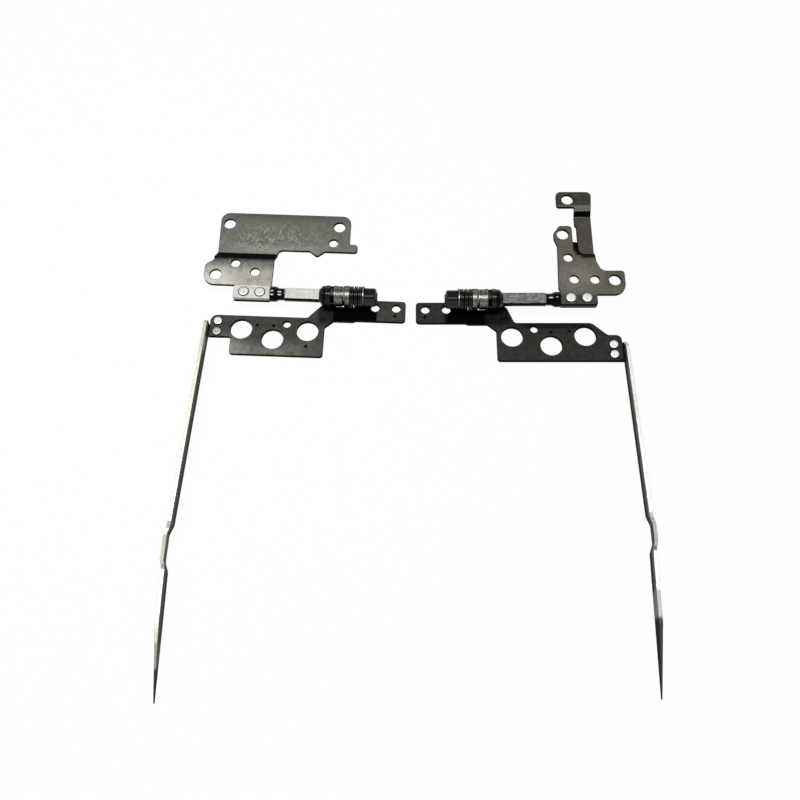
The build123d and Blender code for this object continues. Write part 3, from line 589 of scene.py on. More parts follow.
@dataclass(frozen=True)
class ShaftFinish:
    """Blackened shaft whose milled flats and flattened end are bare steel, with painted shade along the
    flats' edges and round the rivets, and painted highlight lines.
    """

    name: str
    bare: Colour
    bare_shade: Colour
    black: Colour
    dark_stretches: tuple[Zone, ...]
    bare_sides: Zone | None = None
    tints: tuple[Tint, ...] = ()
    metallic: float = 0.85
    roughness: float = 0.46
    black_roughness: float = 0.2
    black_film: Colour = (20, 20, 18)
    edge_shade_share: float = 0.85

    def material(self, hinge: HingeFrame) -> bpy.types.Material:
        """Make the node material; milling marks run along the flats."""
        bench = Bench(f"{hinge.side.value}_{self.name}", hinge)
        mill = bench.noise(bench.stretch((0.3, 4.2, 4.2)), 1.0, 3.0, 0.5)
        mottle = bench.noise(bench.local, 0.9, 4.0, 0.55)
        patchy = bench.blend(mill, mottle, 0.6)
        steel = bench.mix(bench.ramp(patchy, 0.38, 0.64), self.bare_shade, self.bare)
        dark = bench.mix(bench.ramp(mottle, 0.2, 0.8), self.black, self.black_film)
        ground = bench.upward(0.75, 0.95, True)
        if self.bare_sides:
            ground = bench.most(ground, self.bare_sides.mask(bench))
        for stretch in self.dark_stretches:
            clear = bench.opposite(stretch.mask(bench))
            ground = bench.times(ground, clear)
        # Painted shade along the edges of the bare steel.
        rim = bench.opposite(bench.times(bench.edges(0.3), self.edge_shade_share))
        colour = bench.mix(bench.times(ground, rim), dark, steel)
        colour = bench.tinted(colour, self.tints)
        bench.metal(colour, bench.ramp(ground, 0.2, 0.8, 0.0, self.metallic),
                    bench.ramp(ground, 0.2, 0.8, self.black_roughness, self.roughness))
        bench.bump(mill, 0.008, 0.2)
        return bench.material


@dataclass(frozen=True)
class OiledFinish:
    """Black oxide wet with oil: nearly black, glossy, with rubbed edges."""

    name: str
    black: Colour = (6, 6, 6)
    sheen: Colour = (15, 15, 14)
    worn: Colour = (120, 118, 111)
    edge_wear: float = 0.12
    low: float = 0.18
    high: float = 0.3
    shine: float = 0.32

    def material(self, hinge: HingeFrame) -> bpy.types.Material:
        """Make the node material; oil film varies the gloss."""
        bench = Bench(f"{hinge.side.value}_{self.name}", hinge)
        film = bench.noise(bench.local, 1.3, 4.0, 0.6)
        grit = bench.noise(bench.local, 9.0, 3.0)
        body = bench.mix(bench.ramp(film, 0.3, 0.7), self.black, self.sheen)
        rubbed = bench.times(bench.edges(0.14), bench.ramp(film, 0.4, 0.65))
        rubbed = bench.times(rubbed, bench.upward(0.0, 0.5))
        rubbed = bench.times(rubbed, self.edge_wear)
        bench.set("Base Color", bench.mix(rubbed, body, self.worn))
        bench.set("Roughness", bench.dull_below(bench.ramp(film, 0.3, 0.7, self.low, self.high)))
        bench.set("Specular IOR Level", self.shine)
        bench.bump(grit, 0.006, 0.12)
        return bench.material


@dataclass(frozen=True)
class BrightFinish:
    """Bare polished steel with fine turning lines, a little tarnish and painted shade on its steep and lower
    faces.
    """

    name: str
    bright: Colour
    tarnish: Colour
    side_shade: Colour
    low: float = 0.12
    high: float = 0.3
    ring_from: float = -1.0
    ring_to: float = -0.5
    two_ends: bool = False
    metallic: float = 0.9
    stains: tuple[Tint, ...] = ()

    def material(self, hinge: HingeFrame) -> bpy.types.Material:
        """Make the node material; steep sides take painted shade between the ring limits."""
        bench = Bench(f"{hinge.side.value}_{self.name}", hinge)
        lines = bench.noise(bench.stretch((4.5, 0.3, 0.3)), 1.0, 3.0, 0.5)
        mottle = bench.noise(bench.local, 1.8, 5.0, 0.65)
        patchy = bench.blend(lines, mottle, 0.65)
        colour = bench.mix(bench.ramp(patchy, 0.38, 0.64), self.bright, self.tarnish)
        colour = bench.tinted(colour, self.stains)
        # Painted shade on steep and downward faces.
        colour = bench.mix(bench.upward(self.ring_from, self.ring_to, self.two_ends), self.side_shade, colour)
        roughness = bench.ramp(mottle, 0.3, 0.7, self.low, self.high)
        bench.metal(colour, self.metallic, bench.dull_below(roughness))
        bench.bump(lines, 0.005, 0.15)
        return bench.material


@dataclass(frozen=True)
class RailFinish:
    """Rolled strip with bright sheared edges; its faces are darkest low down and on the foot, and its edges
    carry painted shade.
    """

    name: str
    edge: Colour
    edge_shade: Colour
    face: Colour
    face_high: Colour
    rim: Colour
    foot: Zone
    inner_tints: tuple[Tint, ...] = ()
    tints: tuple[Tint, ...] = ()
    face_from: float = -4.6
    face_to: float = -1.0
    metallic: float = 0.85
    smooth: float = 0.42
    dull: float = 0.54

    def material(self, hinge: HingeFrame) -> bpy.types.Material:
        """Make the node material; rolling lines run along the strip."""
        bench = Bench(f"{hinge.side.value}_{self.name}", hinge)
        roll = bench.noise(bench.stretch((5.0, 0.12, 5.0)), 1.0, 4.0, 0.6)
        cloud = bench.noise(bench.local, 0.5, 4.0, 0.6)
        edge = bench.mix(bench.ramp(cloud, 0.4, 0.75), self.edge, self.edge_shade)
        height = bench.ramp(bench.height(), self.face_from, self.face_to)
        height = bench.times(height, bench.ramp(roll, 0.3, 0.7, 0.75, 1.0))
        face = bench.mix(height, self.face, self.face_high)
        foot = self.foot.mask(bench)
        shown = bench.times(bench.upward(0.35, 0.8), bench.opposite(foot))
        colour = bench.mix(shown, face, edge)
        # Painted shade along the edges, broken up by the cloud.
        worn = bench.times(bench.edges(0.26), bench.ramp(cloud, 0.35, 0.6, 0.5, 0.95))
        colour = bench.mix(worn, colour, self.rim)
        inner = bench.opposite(bench.outward(hinge, 0.3, 0.7))
        colour = bench.tinted(colour, self.inner_tints, inner)
        colour = bench.tinted(colour, self.tints)
        bench.metal(colour, self.metallic, bench.ramp(roll, 0.3, 0.7, self.smooth, self.dull))
        bench.bump(roll, 0.008, 0.25)
        return bench.material


def full_turn(steps: int = TURN_STEPS) -> np.ndarray:
    """Evenly spaced angles once round, the last one left out."""
    return np.linspace(0.0, 2 * np.pi, steps, endpoint=False)


def ring_quads(rows: int, columns: int, closed: bool) -> np.ndarray:
    """Faces of a grid whose columns run round a full turn.

    Args:
        rows: points along the profile.
        columns: points round the turn.
        closed: whether the last row joins the first.

    Returns:
        An array of four vertex numbers a face.
    """
    row, column = np.meshgrid(np.arange(rows if closed else rows - 1), np.arange(columns), indexing="ij")
    ahead = (row + 1) % rows
    beside = (column + 1) % columns
    corners = (row * columns + column, ahead * columns + column,
               ahead * columns + beside, row * columns + beside)
    return np.stack([corner.ravel() for corner in corners], axis=1)


def put_piece(name: str, hinge: HingeFrame, shells: list[tuple[np.ndarray, bool]],
              sharp: float = 38.0) -> bpy.types.Object:
    """Make one mesh object from turned grids.

    Args:
        name: the piece's name.
        hinge: the frame that the grids are in.
        shells: grids of (rows, columns, 3) points, each with whether its profile is a closed loop.
        sharp: edges that turn by more degrees than this stay crisp.

    Returns:
        The object, at the origin, with its place in its mesh.
    """
    points = []
    faces = []
    start = 0
    for grid, closed in shells:
        rows, columns, _ = grid.shape
        points.append(hinge.to_row(grid.reshape(-1, 3)))
        faces.append(ring_quads(rows, columns, closed) + start)
        start += rows * columns
    mesh = bpy.data.meshes.new(name)
    mesh.from_pydata(np.concatenate(points), [], np.concatenate(faces))
    work = bmesh.new()
    work.from_mesh(mesh)
    bmesh.ops.remove_doubles(work, verts=work.verts, dist=MERGE_DISTANCE)
    bmesh.ops.dissolve_degenerate(work, edges=work.edges, dist=SLIVER_LENGTH)
    bmesh.ops.recalc_face_normals(work, faces=work.faces)
    work.to_mesh(mesh)
    work.free()
    mesh.shade_smooth()
    mesh.set_sharp_from_angle(angle=math.radians(sharp))
    piece = bpy.data.objects.new(name, mesh)
    bpy.context.scene.collection.objects.link(piece)
    return piece


def turned_about_axis(place: np.ndarray, radius: np.ndarray) -> np.ndarray:
    """Turn a profile about the hinge axis.

    Formula: a point at place d and radius r goes to (d, r cos t, r sin t) for t round a full turn.

    Args:
        place: places along the axis, one a row.
        radius: radii, one a row, or one a row and a column.

    Returns:
        A grid of points.
    """
    angle = full_turn()
    radius = radius[:, None] if radius.ndim == 1 else radius
    radius = np.broadcast_to(radius, (len(place), TURN_STEPS))
    along = np.broadcast_to(place[:, None], radius.shape)
    return np.stack([along, radius * np.cos(angle), radius * np.sin(angle)], axis=2)


def turned_upright(centre: np.ndarray, radius: np.ndarray, height: np.ndarray) -> np.ndarray:
    """Turn a profile about an upright line.

    Formula: a point at radius r and height h goes to (x + r cos t, y + r sin t, h) for t round a full turn.

    Args:
        centre: where the line stands.
        radius: radii, one a row.
        height: heights, one a row.

    Returns:
        A grid of points.
    """
    angle = full_turn()
    across = centre[0] + radius[:, None] * np.cos(angle)
    back = centre[1] + radius[:, None] * np.sin(angle)
    return np.stack([across, back, np.broadcast_to(height[:, None], across.shape)], axis=2)


def rounded_loop(power: float, steps: int) -> tuple[np.ndarray, np.ndarray]:
    """Closed loop between a circle and a square.

    Formula: u is the signed cosine and v the signed sine of t, each to the power 2 / power.

    Args:
        power: 2 gives a circle, large values a square with small round corners.
        steps: points round the loop.

    Returns:
        The arrays u and v, from -1 to 1.
    """
    angle = full_turn(steps)
    cosine = np.cos(angle)
    sine = np.sin(angle)
    return (np.sign(cosine) * np.abs(cosine) ** (2 / power), np.sign(sine) * np.abs(sine) ** (2 / power))


def soften_edges(node: str, width: float) -> None:
    """Break a CAD node's sharp edges with live modifiers; its own mesh stays as it is.

    Args:
        node: the node's full name.
        width: width of the broken edge.
    """
    piece = frame["nodes"][node]
    weld = piece.modifiers.new("join_faces", "WELD")
    weld.merge_threshold = JOIN_DISTANCE
    flat = piece.modifiers.new("merge_flats", "DECIMATE")
    flat.decimate_type = "DISSOLVE"
    flat.angle_limit = math.radians(FLAT_ANGLE)
    bevel = piece.modifiers.new("broken_edge", "BEVEL")
    bevel.width = width * MM
    bevel.segments = 2
    bevel.limit_method = "ANGLE"
    bevel.angle_limit = math.radians(EDGE_ANGLE)
    even = piece.modifiers.new("even_shading", "WEIGHTED_NORMAL")
    even.weight = 100
    even.keep_sharp = True


def dress(node: str, material: bpy.types.Material) -> None:
    """Give a CAD node its finish."""
    piece = frame["nodes"][node]
    piece.material_slots[0].material = material
    log.info("dressed %s", node)


def stand_in(piece: bpy.types.Object, hinge: HingeFrame, node: str, body: str,
             material: bpy.types.Material) -> None:
    """Let a new piece stand for a CAD node.

    Args:
        piece: the new object.
        hinge: the hinge that it belongs to.
        node: the node's name without its side.
        body: the body that it rides on.
        material: its finish.
    """
    piece.data.materials.append(material)
    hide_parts(hinge.node(node))
    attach(piece, body)
    log.info("formed %s", piece.name)


@dataclass
class RivetPair:
    """Two formed rivets with low domed heads and a small dimple."""

    hinge: HingeFrame
    piece: str
    body: str
    slot: str
    finish: BrightFinish
    shank_radius: float = 0.95
    head_height: float = 0.28
    lower_head: bool = True
    dimple: float = 0.015
    dimple_reach: float = 0.42
    dome_power: float = 5.5
    crown_steps: int = 18

    @property
    def head_radius(self) -> float:
        """Half of the node's shorter side."""
        low, high = self.hinge.span(self.piece)
        return min(high[0] - low[0], high[1] - low[1]) / 2

    def centres(self) -> np.ndarray:
        """The two centres, a head's radius in from the node's corners."""
        low, high = self.hinge.span(self.piece)
        return np.stack([low[:2] + self.head_radius, high[:2] - self.head_radius])

    def profile(self) -> tuple[np.ndarray, np.ndarray]:
        """Profile of one rivet from its crown down.

        Formula: the head is h (1 - (r / R)^p)^(1 / p) above the sheet, less a dimple that fades as a bell
        curve of r; below it the straight shank ends in a flat foot or in a second, lower head.

        Returns:
            Radii and heights.
        """
        low, high = self.hinge.span(self.piece)
        head = self.head_radius
        sweep = np.linspace(0.0, np.pi / 2, self.crown_steps)
        radius = head * np.sin(sweep)
        dome = (1 - (radius / head) ** self.dome_power) ** (1 / self.dome_power)
        dome = dome * self.head_height - self.dimple * np.exp(-((radius / (self.dimple_reach * head)) ** 2))
        height = high[2] - self.head_height + dome
        if self.lower_head:
            foot_radius = radius[::-1]
            foot_height = low[2] + self.head_height - dome[::-1]
        else:
            foot_radius = np.array([self.shank_radius, 0.0])
            foot_height = np.array([low[2], low[2]])
        shank_top = np.array([high[2] - self.head_height])
        shank_low = np.array([low[2] + (self.head_height if self.lower_head else 0.0)])
        shank = np.array([self.shank_radius])
        radius = np.concatenate([radius, shank, shank, foot_radius])
        height = np.concatenate([height, shank_top, shank_low, foot_height])
        return radius, height

    def rings(self, colour: Colour, room: float = 0.3) -> tuple[Tint, ...]:
        """Painted shade rings on the sheet round both heads.

        Args:
            colour: the shade's colour.
            room: how far it reaches past the head.

        Returns:
            One tint a rivet.
        """
        reach = self.head_radius + room
        return tuple(Tint(colour, Zone((float(x), float(y), 0.0), (reach, reach, 60.0), 1.0, 0.12), False)
                     for x, y in self.centres())

    def build(self) -> None:
        """Make both rivets as one piece in place of the CAD node."""
        radius, height = self.profile()
        shells = [(turned_upright(centre, radius, height), False) for centre in self.centres()]
        piece = put_piece(f"{self.hinge.node(self.piece)}_formed", self.hinge, shells)
        stand_in(piece, self.hinge, self.piece, self.body, self.finish.material(self.hinge))


@dataclass
class FrictionPack:
    """The stack on the shaft: friction washer, two cams, disc springs, pressure washer and lock nut."""

    hinge: HingeFrame
    oiled: OiledFinish
    bright: BrightFinish
    key_radius: float = 1.84
    key_flat: float = 1.29
    spring_bore: float = 1.85
    spring_count: int = 6
    spring_thickness: float = 0.42
    spring_gap: float = 0.06
    spring_rise: float = 0.05
    nut_bore: float = 1.44
    nut_limit: float = 2.68
    nut_outer_round: float = 0.95
    nut_inner_round: float = 0.3
    nut_round_steps: int = 9
    nut_crease: float = 30.0
    washer_power: float = 9.0
    washer_steps: int = 48
    spring_power: float = 5.0
    spring_steps: int = 40
    friction_discs: int = 2
    cam_edge: float = 0.08

    def keyed_washer(self, node: str, material: bpy.types.Material, discs: int = 1) -> None:
        """Washer with a keyed bore and softly rounded rims.

        Formula: the bore's radius is the smaller of the key's radius and its flat over |sin t|; the section
        between bore and rim is a loop between a circle and a square, carried round the axis.

        Args:
            node: the CAD node without its side.
            material: its finish.
            discs: how many thin discs the washer is split into.
        """
        low, high = self.hinge.span(node)
        angle = full_turn()
        flat = self.key_flat / np.maximum(np.abs(np.sin(angle)), 1e-6)
        bore = np.minimum(self.key_radius, flat)
        rim = (high[2] - low[2]) / 2
        across, along = rounded_loop(self.washer_power, self.washer_steps)
        radius = bore + (rim - bore) * (across[:, None] + 1) / 2
        half = (high[0] - low[0]) / discs / 2
        places = [low[0] + (2 * number + 1) * half + along * half for number in range(discs)]
        name = f"{self.hinge.node(node)}_turned"
        piece = put_piece(name, self.hinge, [(turned_about_axis(place, radius), True) for place in places])
        stand_in(piece, self.hinge, node, "bases", material)

    def disc_springs(self, material: bpy.types.Material) -> None:
        """Cupped springs with rounded rims, every second one the other way round.

        Formula: across a spring the section's middle rises in a straight line from bore to rim, and its
        thickness follows a loop between a circle and a square.

        Args:
            material: their finish.
        """
        low, high = self.hinge.span("disc_springs")
        rim = (high[2] - low[2]) / 2
        first = low[0] - self.spring_gap / 2
        pitch = (high[0] - low[0] + self.spring_gap) / self.spring_count
        across, along = rounded_loop(self.spring_power, self.spring_steps)
        radius = self.spring_bore + (rim - self.spring_bore) * (across + 1) / 2
        shells = []
        for number in range(self.spring_count):
            lean = -1 if number % 2 else 1
            middle = first + (number + 0.5) * pitch
            place = middle + lean * across * self.spring_rise + along * self.spring_thickness / 2
            shells.append((turned_about_axis(place, radius), True))
        piece = put_piece(f"{self.hinge.node('disc_springs')}_rolled", self.hinge, shells)
        stand_in(piece, self.hinge, "disc_springs", "bases", material)

    def lock_nut(self, material: bpy.types.Material) -> None:
        """Hexagon nut with its corners turned off and both ends rounded.

        Formula: the outer radius is the smaller of the hexagon's, flats / 2 over the cosine of the angle from
        the nearest flat, and a turned limit that falls off towards each end as a quarter circle.

        Args:
            material: its finish.
        """
        low, high = self.hinge.span("lock_nut")
        flats = high[2] - low[2]
        angle = full_turn()
        from_flat = (angle - np.pi / 2 + np.pi / 6) % (np.pi / 3) - np.pi / 6
        hexagon = flats / 2 / np.cos(from_flat)
        sweep = np.linspace(0.0, np.pi / 2, self.nut_round_steps)
        outer_round = low[0] + self.nut_outer_round * (1 - np.cos(sweep))
        outer_limit = self.nut_limit - self.nut_outer_round * (1 - np.sin(sweep))
        inner_round = high[0] - self.nut_inner_round * (1 - np.cos(sweep[::-1]))
        inner_limit = self.nut_limit - self.nut_inner_round * (1 - np.sin(sweep[::-1]))
        limit = np.concatenate([outer_limit, inner_limit])
        bore = np.full((1, TURN_STEPS), self.nut_bore)
        radius = np.concatenate([bore, np.minimum(hexagon, limit[:, None]), bore])
        place = np.concatenate([[low[0]], outer_round, inner_round, [high[0]]])
        piece = put_piece(f"{self.hinge.node('lock_nut')}_domed", self.hinge,
                          [(turned_about_axis(place, radius), True)], self.nut_crease)
        stand_in(piece, self.hinge, "lock_nut", "bases", material)

    def build(self) -> None:
        """Make every piece of the pack."""
        oiled = self.oiled.material(self.hinge)
        bright = self.bright.material(self.hinge)
        self.keyed_washer("friction_washer", oiled, self.friction_discs)
        self.disc_springs(oiled)
        self.keyed_washer("pressure_washer", bright)
        self.lock_nut(oiled)
        for cam in ("fixed_cam", "cam_follower"):
            dress(self.hinge.node(cam), bright)
            soften_edges(self.hinge.node(cam), self.cam_edge)


@dataclass
class BaseSide:
    """Base bracket with the shaft that is riveted to it."""

    hinge: HingeFrame
    sheet: SheetFinish
    shaft: ShaftFinish
    rivets: BrightFinish
    ring: Colour | None = None
    bracket_edge: float = 0.09
    shaft_edge: float = 0.06

    def build(self) -> None:
        """Dress the bracket and the shaft, and form the rivets."""
        bracket = self.hinge.node("base_bracket")
        dress(bracket, self.sheet.material(self.hinge))
        soften_edges(bracket, self.bracket_edge)
        rivets = RivetPair(self.hinge, "base_rivets", "bases", "rivet_steel", self.rivets)
        finish = self.shaft
        if self.ring:
            finish = replace(finish, tints=finish.tints + rivets.rings(self.ring))
        shaft = self.hinge.node("shaft")
        dress(shaft, finish.material(self.hinge))
        soften_edges(shaft, self.shaft_edge)
        rivets.build()


@dataclass
class DisplayLeaf:
    """Display bracket with its screen rail and the rivets between them."""

    hinge: HingeFrame
    sheet: SheetFinish
    rail: RailFinish
    rivets: BrightFinish
    ring: Colour
    bracket_edge: float = 0.08
    rail_edge: float = 0.07

    def build(self) -> None:
        """Dress the bracket and the rail, and form the rivets."""
        rivets = RivetPair(self.hinge, "rail_rivets", self.hinge.leaf, "rivet_steel", self.rivets,
                           lower_head=False)
        finish = replace(self.sheet, tints=self.sheet.tints + rivets.rings(self.ring))
        bracket = self.hinge.node("display_bracket")
        dress(bracket, finish.material(self.hinge))
        soften_edges(bracket, self.bracket_edge)
        rail = self.hinge.node("screen_rail")
        dress(rail, self.rail.material(self.hinge))
        soften_edges(rail, self.rail_edge)
        rivets.build()


@dataclass
class Studio:
    """White table with a round cove behind it, soft light from above and the camera."""

    camera_place: Triple = (-0.002453, -0.096065, 0.23240)
    camera_tilt: float = 24.0
    lens: float = 43.276
    sensor: float = 36.0
    near: float = 0.01
    floor_reach: float = 1.5
    cove_radius: float = 0.5
    cove_height: float = 1.1
    cove_steps: int = 13
    floor_glow: float = 0.96
    sky_low: float = 0.06
    sky_high: float = 0.28
    sky_from: float = 0.1
    sky_to: float = 0.9
    lamp_place: Triple = (-0.09, 0.035, 0.5)
    lamp_size: tuple[float, float] = (0.5, 0.1)
    lamp_power: float = 1.95

    def camera(self) -> None:
        """Set up the camera at the photograph's viewing angle."""
        data = bpy.data.cameras.new("camera")
        data.sensor_width = self.sensor
        data.lens = self.lens
        data.clip_start = self.near
        eye = bpy.data.objects.new("camera", data)
        eye.location = self.camera_place
        eye.rotation_euler = (math.radians(self.camera_tilt), 0.0, 0.0)
        bpy.context.scene.collection.objects.link(eye)
        bpy.context.scene.camera = eye

    def floor(self) -> None:
        """Lay a white table and cove that keep the shadow under a glow for seen and mirrored rays.

        Formula: a flat disc, then a quarter circle up to an upright wall, turned about the vertical.
        """
        sweep = np.linspace(0.0, np.pi / 2, self.cove_steps)
        bend = self.floor_reach + self.cove_radius * np.sin(sweep)
        radius = np.concatenate([[0.0], bend, bend[-1:]])
        height = np.concatenate([[0.0], self.cove_radius * (1 - np.cos(sweep)), [self.cove_height]])
        grid = turned_upright(np.zeros(2), radius, height)
        mesh = bpy.data.meshes.new("table")
        mesh.from_pydata(grid.reshape(-1, 3), [], ring_quads(len(radius), TURN_STEPS, False))
        mesh.shade_smooth()
        table = bpy.data.objects.new("table", mesh)
        bpy.context.scene.collection.objects.link(table)
        bench = Bench("white_table")
        paper = bench.noise(bench.local, 0.8, 4.0)
        bench.set("Base Color", bench.mix(paper, (250, 250, 250), (255, 255, 255)))
        bench.set("Roughness", 0.9)
        glow = bench.add("ShaderNodeEmission")
        rays = bench.add("ShaderNodeLightPath")
        seen = bench.most(rays.outputs["Is Camera Ray"], rays.outputs["Is Glossy Ray"])
        seen = bench.most(seen, rays.outputs["Is Transmission Ray"])
        share = bench.times(seen, self.floor_glow)
        blend = bench.add("ShaderNodeMixShader")
        bench.join(share, blend.inputs[0])
        bench.join(bench.shader.outputs["BSDF"], blend.inputs[1])
        bench.join(glow.outputs["Emission"], blend.inputs[2])
        bench.join(blend.outputs["Shader"], bench.tree.nodes["Material Output"].inputs["Surface"])
        mesh.materials.append(bench.material)

    def sky(self) -> None:
        """Soft white surroundings, dimmer towards the horizon."""
        world = bpy.data.worlds.new("surroundings")
        bpy.context.scene.world = world
        world.use_nodes = True
        tree = world.node_tree
        coords = tree.nodes.new("ShaderNodeTexCoord")
        split = tree.nodes.new("ShaderNodeSeparateXYZ")
        fade = tree.nodes.new("ShaderNodeMapRange")
        fade.interpolation_type = "SMOOTHSTEP"
        fade.inputs["From Min"].default_value = self.sky_from
        fade.inputs["From Max"].default_value = self.sky_to
        fade.inputs["To Min"].default_value = self.sky_low
        fade.inputs["To Max"].default_value = self.sky_high
        tree.links.new(coords.outputs["Generated"], split.inputs["Vector"])
        tree.links.new(split.outputs["Z"], fade.inputs["Value"])
        back = tree.nodes["Background"]
        back.inputs["Color"].default_value = (1.0, 1.0, 1.0, 1.0)
        tree.links.new(fade.outputs["Result"], back.inputs["Strength"])

    def lamp(self) -> None:
        """Hang one long soft light right over the table."""
        data = bpy.data.lights.new("softbox", "AREA")
        data.shape = "RECTANGLE"
        data.size, data.size_y = self.lamp_size
        data.energy = self.lamp_power
        box = bpy.data.objects.new("softbox", data)
        box.location = self.lamp_place
        bpy.context.scene.collection.objects.link(box)

    def build(self) -> None:
        """Set up everything around the object."""
        self.camera()
        self.floor()
        self.sky()
        self.lamp()
        bpy.context.scene.view_settings.view_transform = "Standard"
        log.info("studio ready")


# Zones are given as (out, back, up) from the middle of each hinge's axis.
# Left base: the tone zones paint the satin reflection, darker far back on the upper plate and brighter on the
# lower part; the dark and near-black bands are painted shade at the step.
LEFT_BASE = SheetFinish(
    "base_sheet", ground=(140, 139, 130), shade=(112, 111, 103), scuff=(216, 214, 204), rim=(34, 34, 32),
    side=(9, 9, 8), edge_glint=(160, 158, 150),
    scuff_zones=(
        Zone((15.0, 20.0, -4.3), (19.0, 8.0, 3.0), 1.0, 0.8),
        Zone((23.5, 6.0, -0.2), (12.0, 8.0, 3.0), 0.9, 0.7)),
    tints=(
        Tint((92, 91, 85), band((-14.0, 25.0, -6.0), (36.0, 37.0, -3.0), 0.9, 0.7)),
        Tint((166, 164, 155), band((-8.0, 14.0, -6.0), (36.0, 19.5, -3.0), 0.8, 0.9)),
        Tint((194, 191, 182), band((6.0, -6.0, -2.0), (38.0, 9.6, 1.5), 0.95, 0.35)),
        Tint((232, 230, 220), Zone((29.0, 3.0, -0.2), (9.5, 7.5, 3.0), 1.0, 0.9)),
        Tint((52, 51, 48), band((6.0, 9.6, -2.0), (40.0, 13.6, 1.5), 0.85, 0.6)),
        Tint((8, 8, 7), band((6.0, 10.6, -6.0), (40.0, 15.6, 1.5), 0.9, 0.3), False)))
# Right base: the tone zones paint the satin reflection, lighter mid-plate and darker on the strip, the flag
# and beside the shaft; the pale band at the flag's bend is a painted highlight and the near-black zones are
# painted shade at the drawn step.
RIGHT_BASE = SheetFinish(
    "base_sheet", ground=(122, 119, 109), shade=(104, 101, 93), scuff=(172, 168, 158), rim=(14, 14, 13),
    side=(9, 9, 8), edge_glint=(176, 172, 160), scuff_share=0.5,
    scuff_zones=(Zone((20.0, 9.0, 0.6), (8.0, 8.0, 3.0), 0.8, 0.8),),
    tints=(
        Tint((68, 65, 60), band((15.0, 29.8, -2.0), (28.0, 39.0, 3.0), 0.95, 0.2)),
        Tint((86, 84, 76), band((20.0, 14.6, -2.0), (28.0, 27.5, 3.0), 0.95, 0.1)),
        Tint((150, 146, 136), Zone((21.0, 6.5, 0.6), (9.0, 6.0, 3.0), 0.9, 1.0)),
        Tint((96, 94, 87), band((27.5, 2.0, -2.0), (38.0, 14.0, 3.0), 0.8, 0.4)),
        Tint((58, 56, 52), band((14.0, -4.0, -2.0), (28.0, 1.6, 3.0), 0.85, 0.5)),
        Tint((150, 147, 137), band((20.0, 28.9, -2.0), (28.0, 30.3, 3.0), 0.95, 0.7)),
        Tint((8, 8, 7), band((19.8, 14.4, -0.4), (22.2, 19.4, 3.0), 0.95, 0.5), False),
        Tint((8, 8, 7), Zone((21.9, 14.6, 1.3), (1.9, 1.7, 1.7), 0.95, 0.5), False),
        Tint((14, 14, 13), band((21.2, 12.2, -0.4), (27.4, 14.8, 3.0), 0.9, 0.6), False)))
# Near black under each pack: painted shadow of the pack over some oil.
OIL_AND_PACK_SHADOW = (5, 5, 5)
# Left display: the pale zones paint the reflection brightening towards its near edge, the dark zone at the
# ear end of the pack is painted shade, and the thin pale band is a painted highlight along the strip's edge.
LEFT_DISPLAY = SheetFinish(
    "display_sheet", ground=(79, 79, 75), shade=(62, 62, 59), scuff=(122, 121, 114), rim=(10, 10, 9),
    side=(8, 8, 7), edge_glint=(140, 139, 132), scuff_share=0.35, mark_floor=-3.33,
    tints=(
        Tint((130, 130, 122), band((-4.0, -26.0, -6.0), (40.0, -11.0, -2.0), 0.95, 0.95)),
        Tint((160, 159, 153), Zone((25.0, -17.0, -3.2), (10.0, 8.0, 3.0), 0.9, 1.0)),
        Tint((22, 22, 20), band((-6.0, -9.0, -6.0), (1.2, 4.0, -2.0), 0.95, 0.5)),
        Tint(OIL_AND_PACK_SHADOW, band((-15.9, -9.0, -6.0), (-3.6, 4.0, -2.0), 1.0, 0.06), False),
        Tint((170, 169, 162), band((-15.6, -6.3, -6.0), (-10.4, -5.6, -2.0), 0.85, 0.5), False)))
# Right display: a darker band along its edge towards the base, and painted shade at the ear end of the pack.
RIGHT_DISPLAY = SheetFinish(
    "display_sheet", ground=(60, 60, 57), shade=(47, 47, 45), scuff=(96, 95, 90), rim=(8, 8, 8),
    side=(7, 7, 7), edge_glint=(130, 129, 122), scuff_share=0.3, mark_floor=-3.33,
    tints=(
        Tint((14, 14, 13), band((2.0, -7.6, -6.0), (26.0, -4.0, -2.0), 0.9, 0.4)),
        Tint((16, 16, 15), band((-6.0, -7.4, -6.0), (3.4, 4.0, -2.0), 0.95, 0.4)),
        Tint(OIL_AND_PACK_SHADOW, band((-16.6, -9.0, -6.0), (-3.2, 4.0, -2.0), 1.0, 0.3), False)))
SHADE_RING = (20, 20, 18)
GLINT = (244, 243, 236)


def glint(start: float, end: float, radius: float, turn: float) -> Tint:
    """Painted highlight: a thin bright line along the shaft where the lamp's glint falls.

    Args:
        start: where it starts along the axis.
        end: where it ends.
        radius: the shaft's radius there.
        turn: how far round from the top it lies, in degrees.

    Returns:
        The line as a tint.
    """
    back = -radius * math.sin(math.radians(turn))
    up = radius * math.cos(math.radians(turn))
    return Tint(GLINT, Zone(((start + end) / 2, back, up), ((end - start) / 2, 0.22, 0.4), 0.9, 0.4))


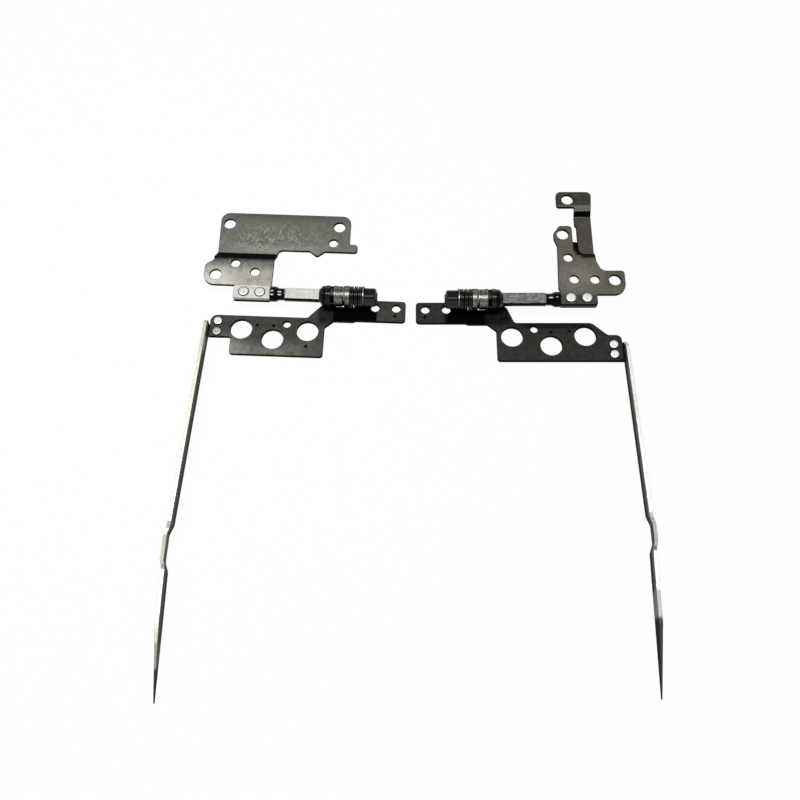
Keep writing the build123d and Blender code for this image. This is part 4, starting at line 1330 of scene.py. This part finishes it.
LEFT_SHAFT = ShaftFinish(
    "shaft_steel", bare=(240, 238, 228), bare_shade=(214, 212, 201), black=(7, 7, 6),
    dark_stretches=(band((9.4, -30.0, -30.0), (13.4, 30.0, 30.0), 1.0, 0.05),
                    band((-18.0, -30.0, -30.0), (0.0, 30.0, 30.0), 1.0, 0.01)),
    bare_sides=band((13.3, -4.0, 0.15), (26.0, 4.0, 2.0), 1.0, 0.05),
    tints=(glint(12.2, 13.3, 2.1, 3.0), glint(12.2, 13.3, 2.1, 32.0),
           glint(10.1, 11.5, 1.65, 5.0), glint(10.1, 11.5, 1.65, 32.0)))
RIGHT_SHAFT = ShaftFinish(
    "shaft_steel", bare=(166, 165, 160), bare_shade=(104, 103, 98), black=(7, 7, 6),
    dark_stretches=(band((11.65, -30.0, -30.0), (15.65, 30.0, 30.0), 1.0, 0.05),
                    band((-18.0, -30.0, -30.0), (0.0, 30.0, 30.0), 1.0, 0.01)),
    tints=(glint(12.2, 13.7, 1.65, 10.0), glint(14.3, 14.8, 1.95, 10.0)))
OILED = OiledFinish("oiled_oxide")
# Cams: painted shade darkens their lower halves.
CAM = BrightFinish(
    "polished_cam", bright=(150, 149, 142), tarnish=(64, 63, 58), side_shade=(14, 13, 12), low=0.28, high=0.4,
    ring_from=0.0, ring_to=0.8)
# Rivets, here and below: painted shade on the steep rims of their heads.
RIVET = BrightFinish(
    "rivet_steel", bright=(244, 243, 236), tarnish=(226, 224, 214), side_shade=(26, 25, 24), low=0.42, high=0.52,
    ring_from=0.55, ring_to=0.9, two_ends=True)
LEFT_RAIL_RIVET = replace(
    RIVET, name="stained_rivet",
    stains=(Tint((176, 176, 170), Zone((27.7, -10.25, -3.0), (1.5, 1.5, 2.0), 0.9, 0.3)),))
PALE_RIVET = BrightFinish(
    "pale_rivet", bright=(255, 255, 254), tarnish=(250, 249, 246), side_shade=(60, 59, 56), low=0.42, high=0.52,
    ring_from=0.4, ring_to=0.8, two_ends=True)
FOOT = band((20.0, -26.0, -6.0), (36.0, 0.0, -3.6), 1.0, 0.05)
LEFT_RAIL = RailFinish(
    "rail_strip", edge=(230, 230, 218), edge_shade=(214, 214, 202), face=(84, 85, 79),
    face_high=(126, 127, 119), rim=(120, 120, 112), foot=FOOT,
    inner_tints=(
        Tint((196, 196, 188), band((26.0, -18.0, -3.4), (40.0, -6.0, 2.0), 0.7, 0.4)),
        Tint((132, 133, 125), band((26.0, -75.6, -6.0), (40.0, -67.0, 2.0), 0.8, 0.2)),
        Tint((128, 129, 121), band((26.0, -101.0, -6.0), (40.0, -93.2, 2.0), 0.7, 0.35))),
    tints=(Tint((44, 45, 42), band((24.0, -112.0, -6.0), (40.0, -99.0, 2.0), 0.95, 0.2)),))
RIGHT_RAIL = RailFinish(
    "rail_strip", edge=(250, 250, 246), edge_shade=(232, 232, 224), face=(42, 43, 40),
    face_high=(150, 150, 142), rim=(72, 72, 67), foot=FOOT,
    inner_tints=(
        Tint((112, 112, 106), band((26.0, -69.8, -6.0), (42.0, -60.4, 2.0), 0.7, 0.2)),
        Tint((160, 160, 155), band((26.0, -87.0, -6.0), (42.0, -78.2, 2.0), 0.8, 0.3))),
    tints=(Tint((46, 46, 44), band((24.0, -112.0, -6.0), (42.0, -84.8, 2.0), 0.95, 0.1)),))


def main() -> None:
    """Build both hinges and the studio."""
    logging.basicConfig(level=logging.INFO, format="%(name)s: %(message)s")
    left = HingeFrame.of(Side.LEFT)
    right = HingeFrame.of(Side.RIGHT)
    BaseSide(left, LEFT_BASE, LEFT_SHAFT, RIVET, SHADE_RING).build()
    BaseSide(right, RIGHT_BASE, RIGHT_SHAFT, PALE_RIVET).build()
    for hinge in (left, right):
        FrictionPack(hinge, OILED, CAM).build()
    DisplayLeaf(left, LEFT_DISPLAY, LEFT_RAIL, LEFT_RAIL_RIVET, SHADE_RING).build()
    DisplayLeaf(right, RIGHT_DISPLAY, RIGHT_RAIL, PALE_RIVET, SHADE_RING).build()
    Studio().build()


if __name__ == "__main__":
    main()
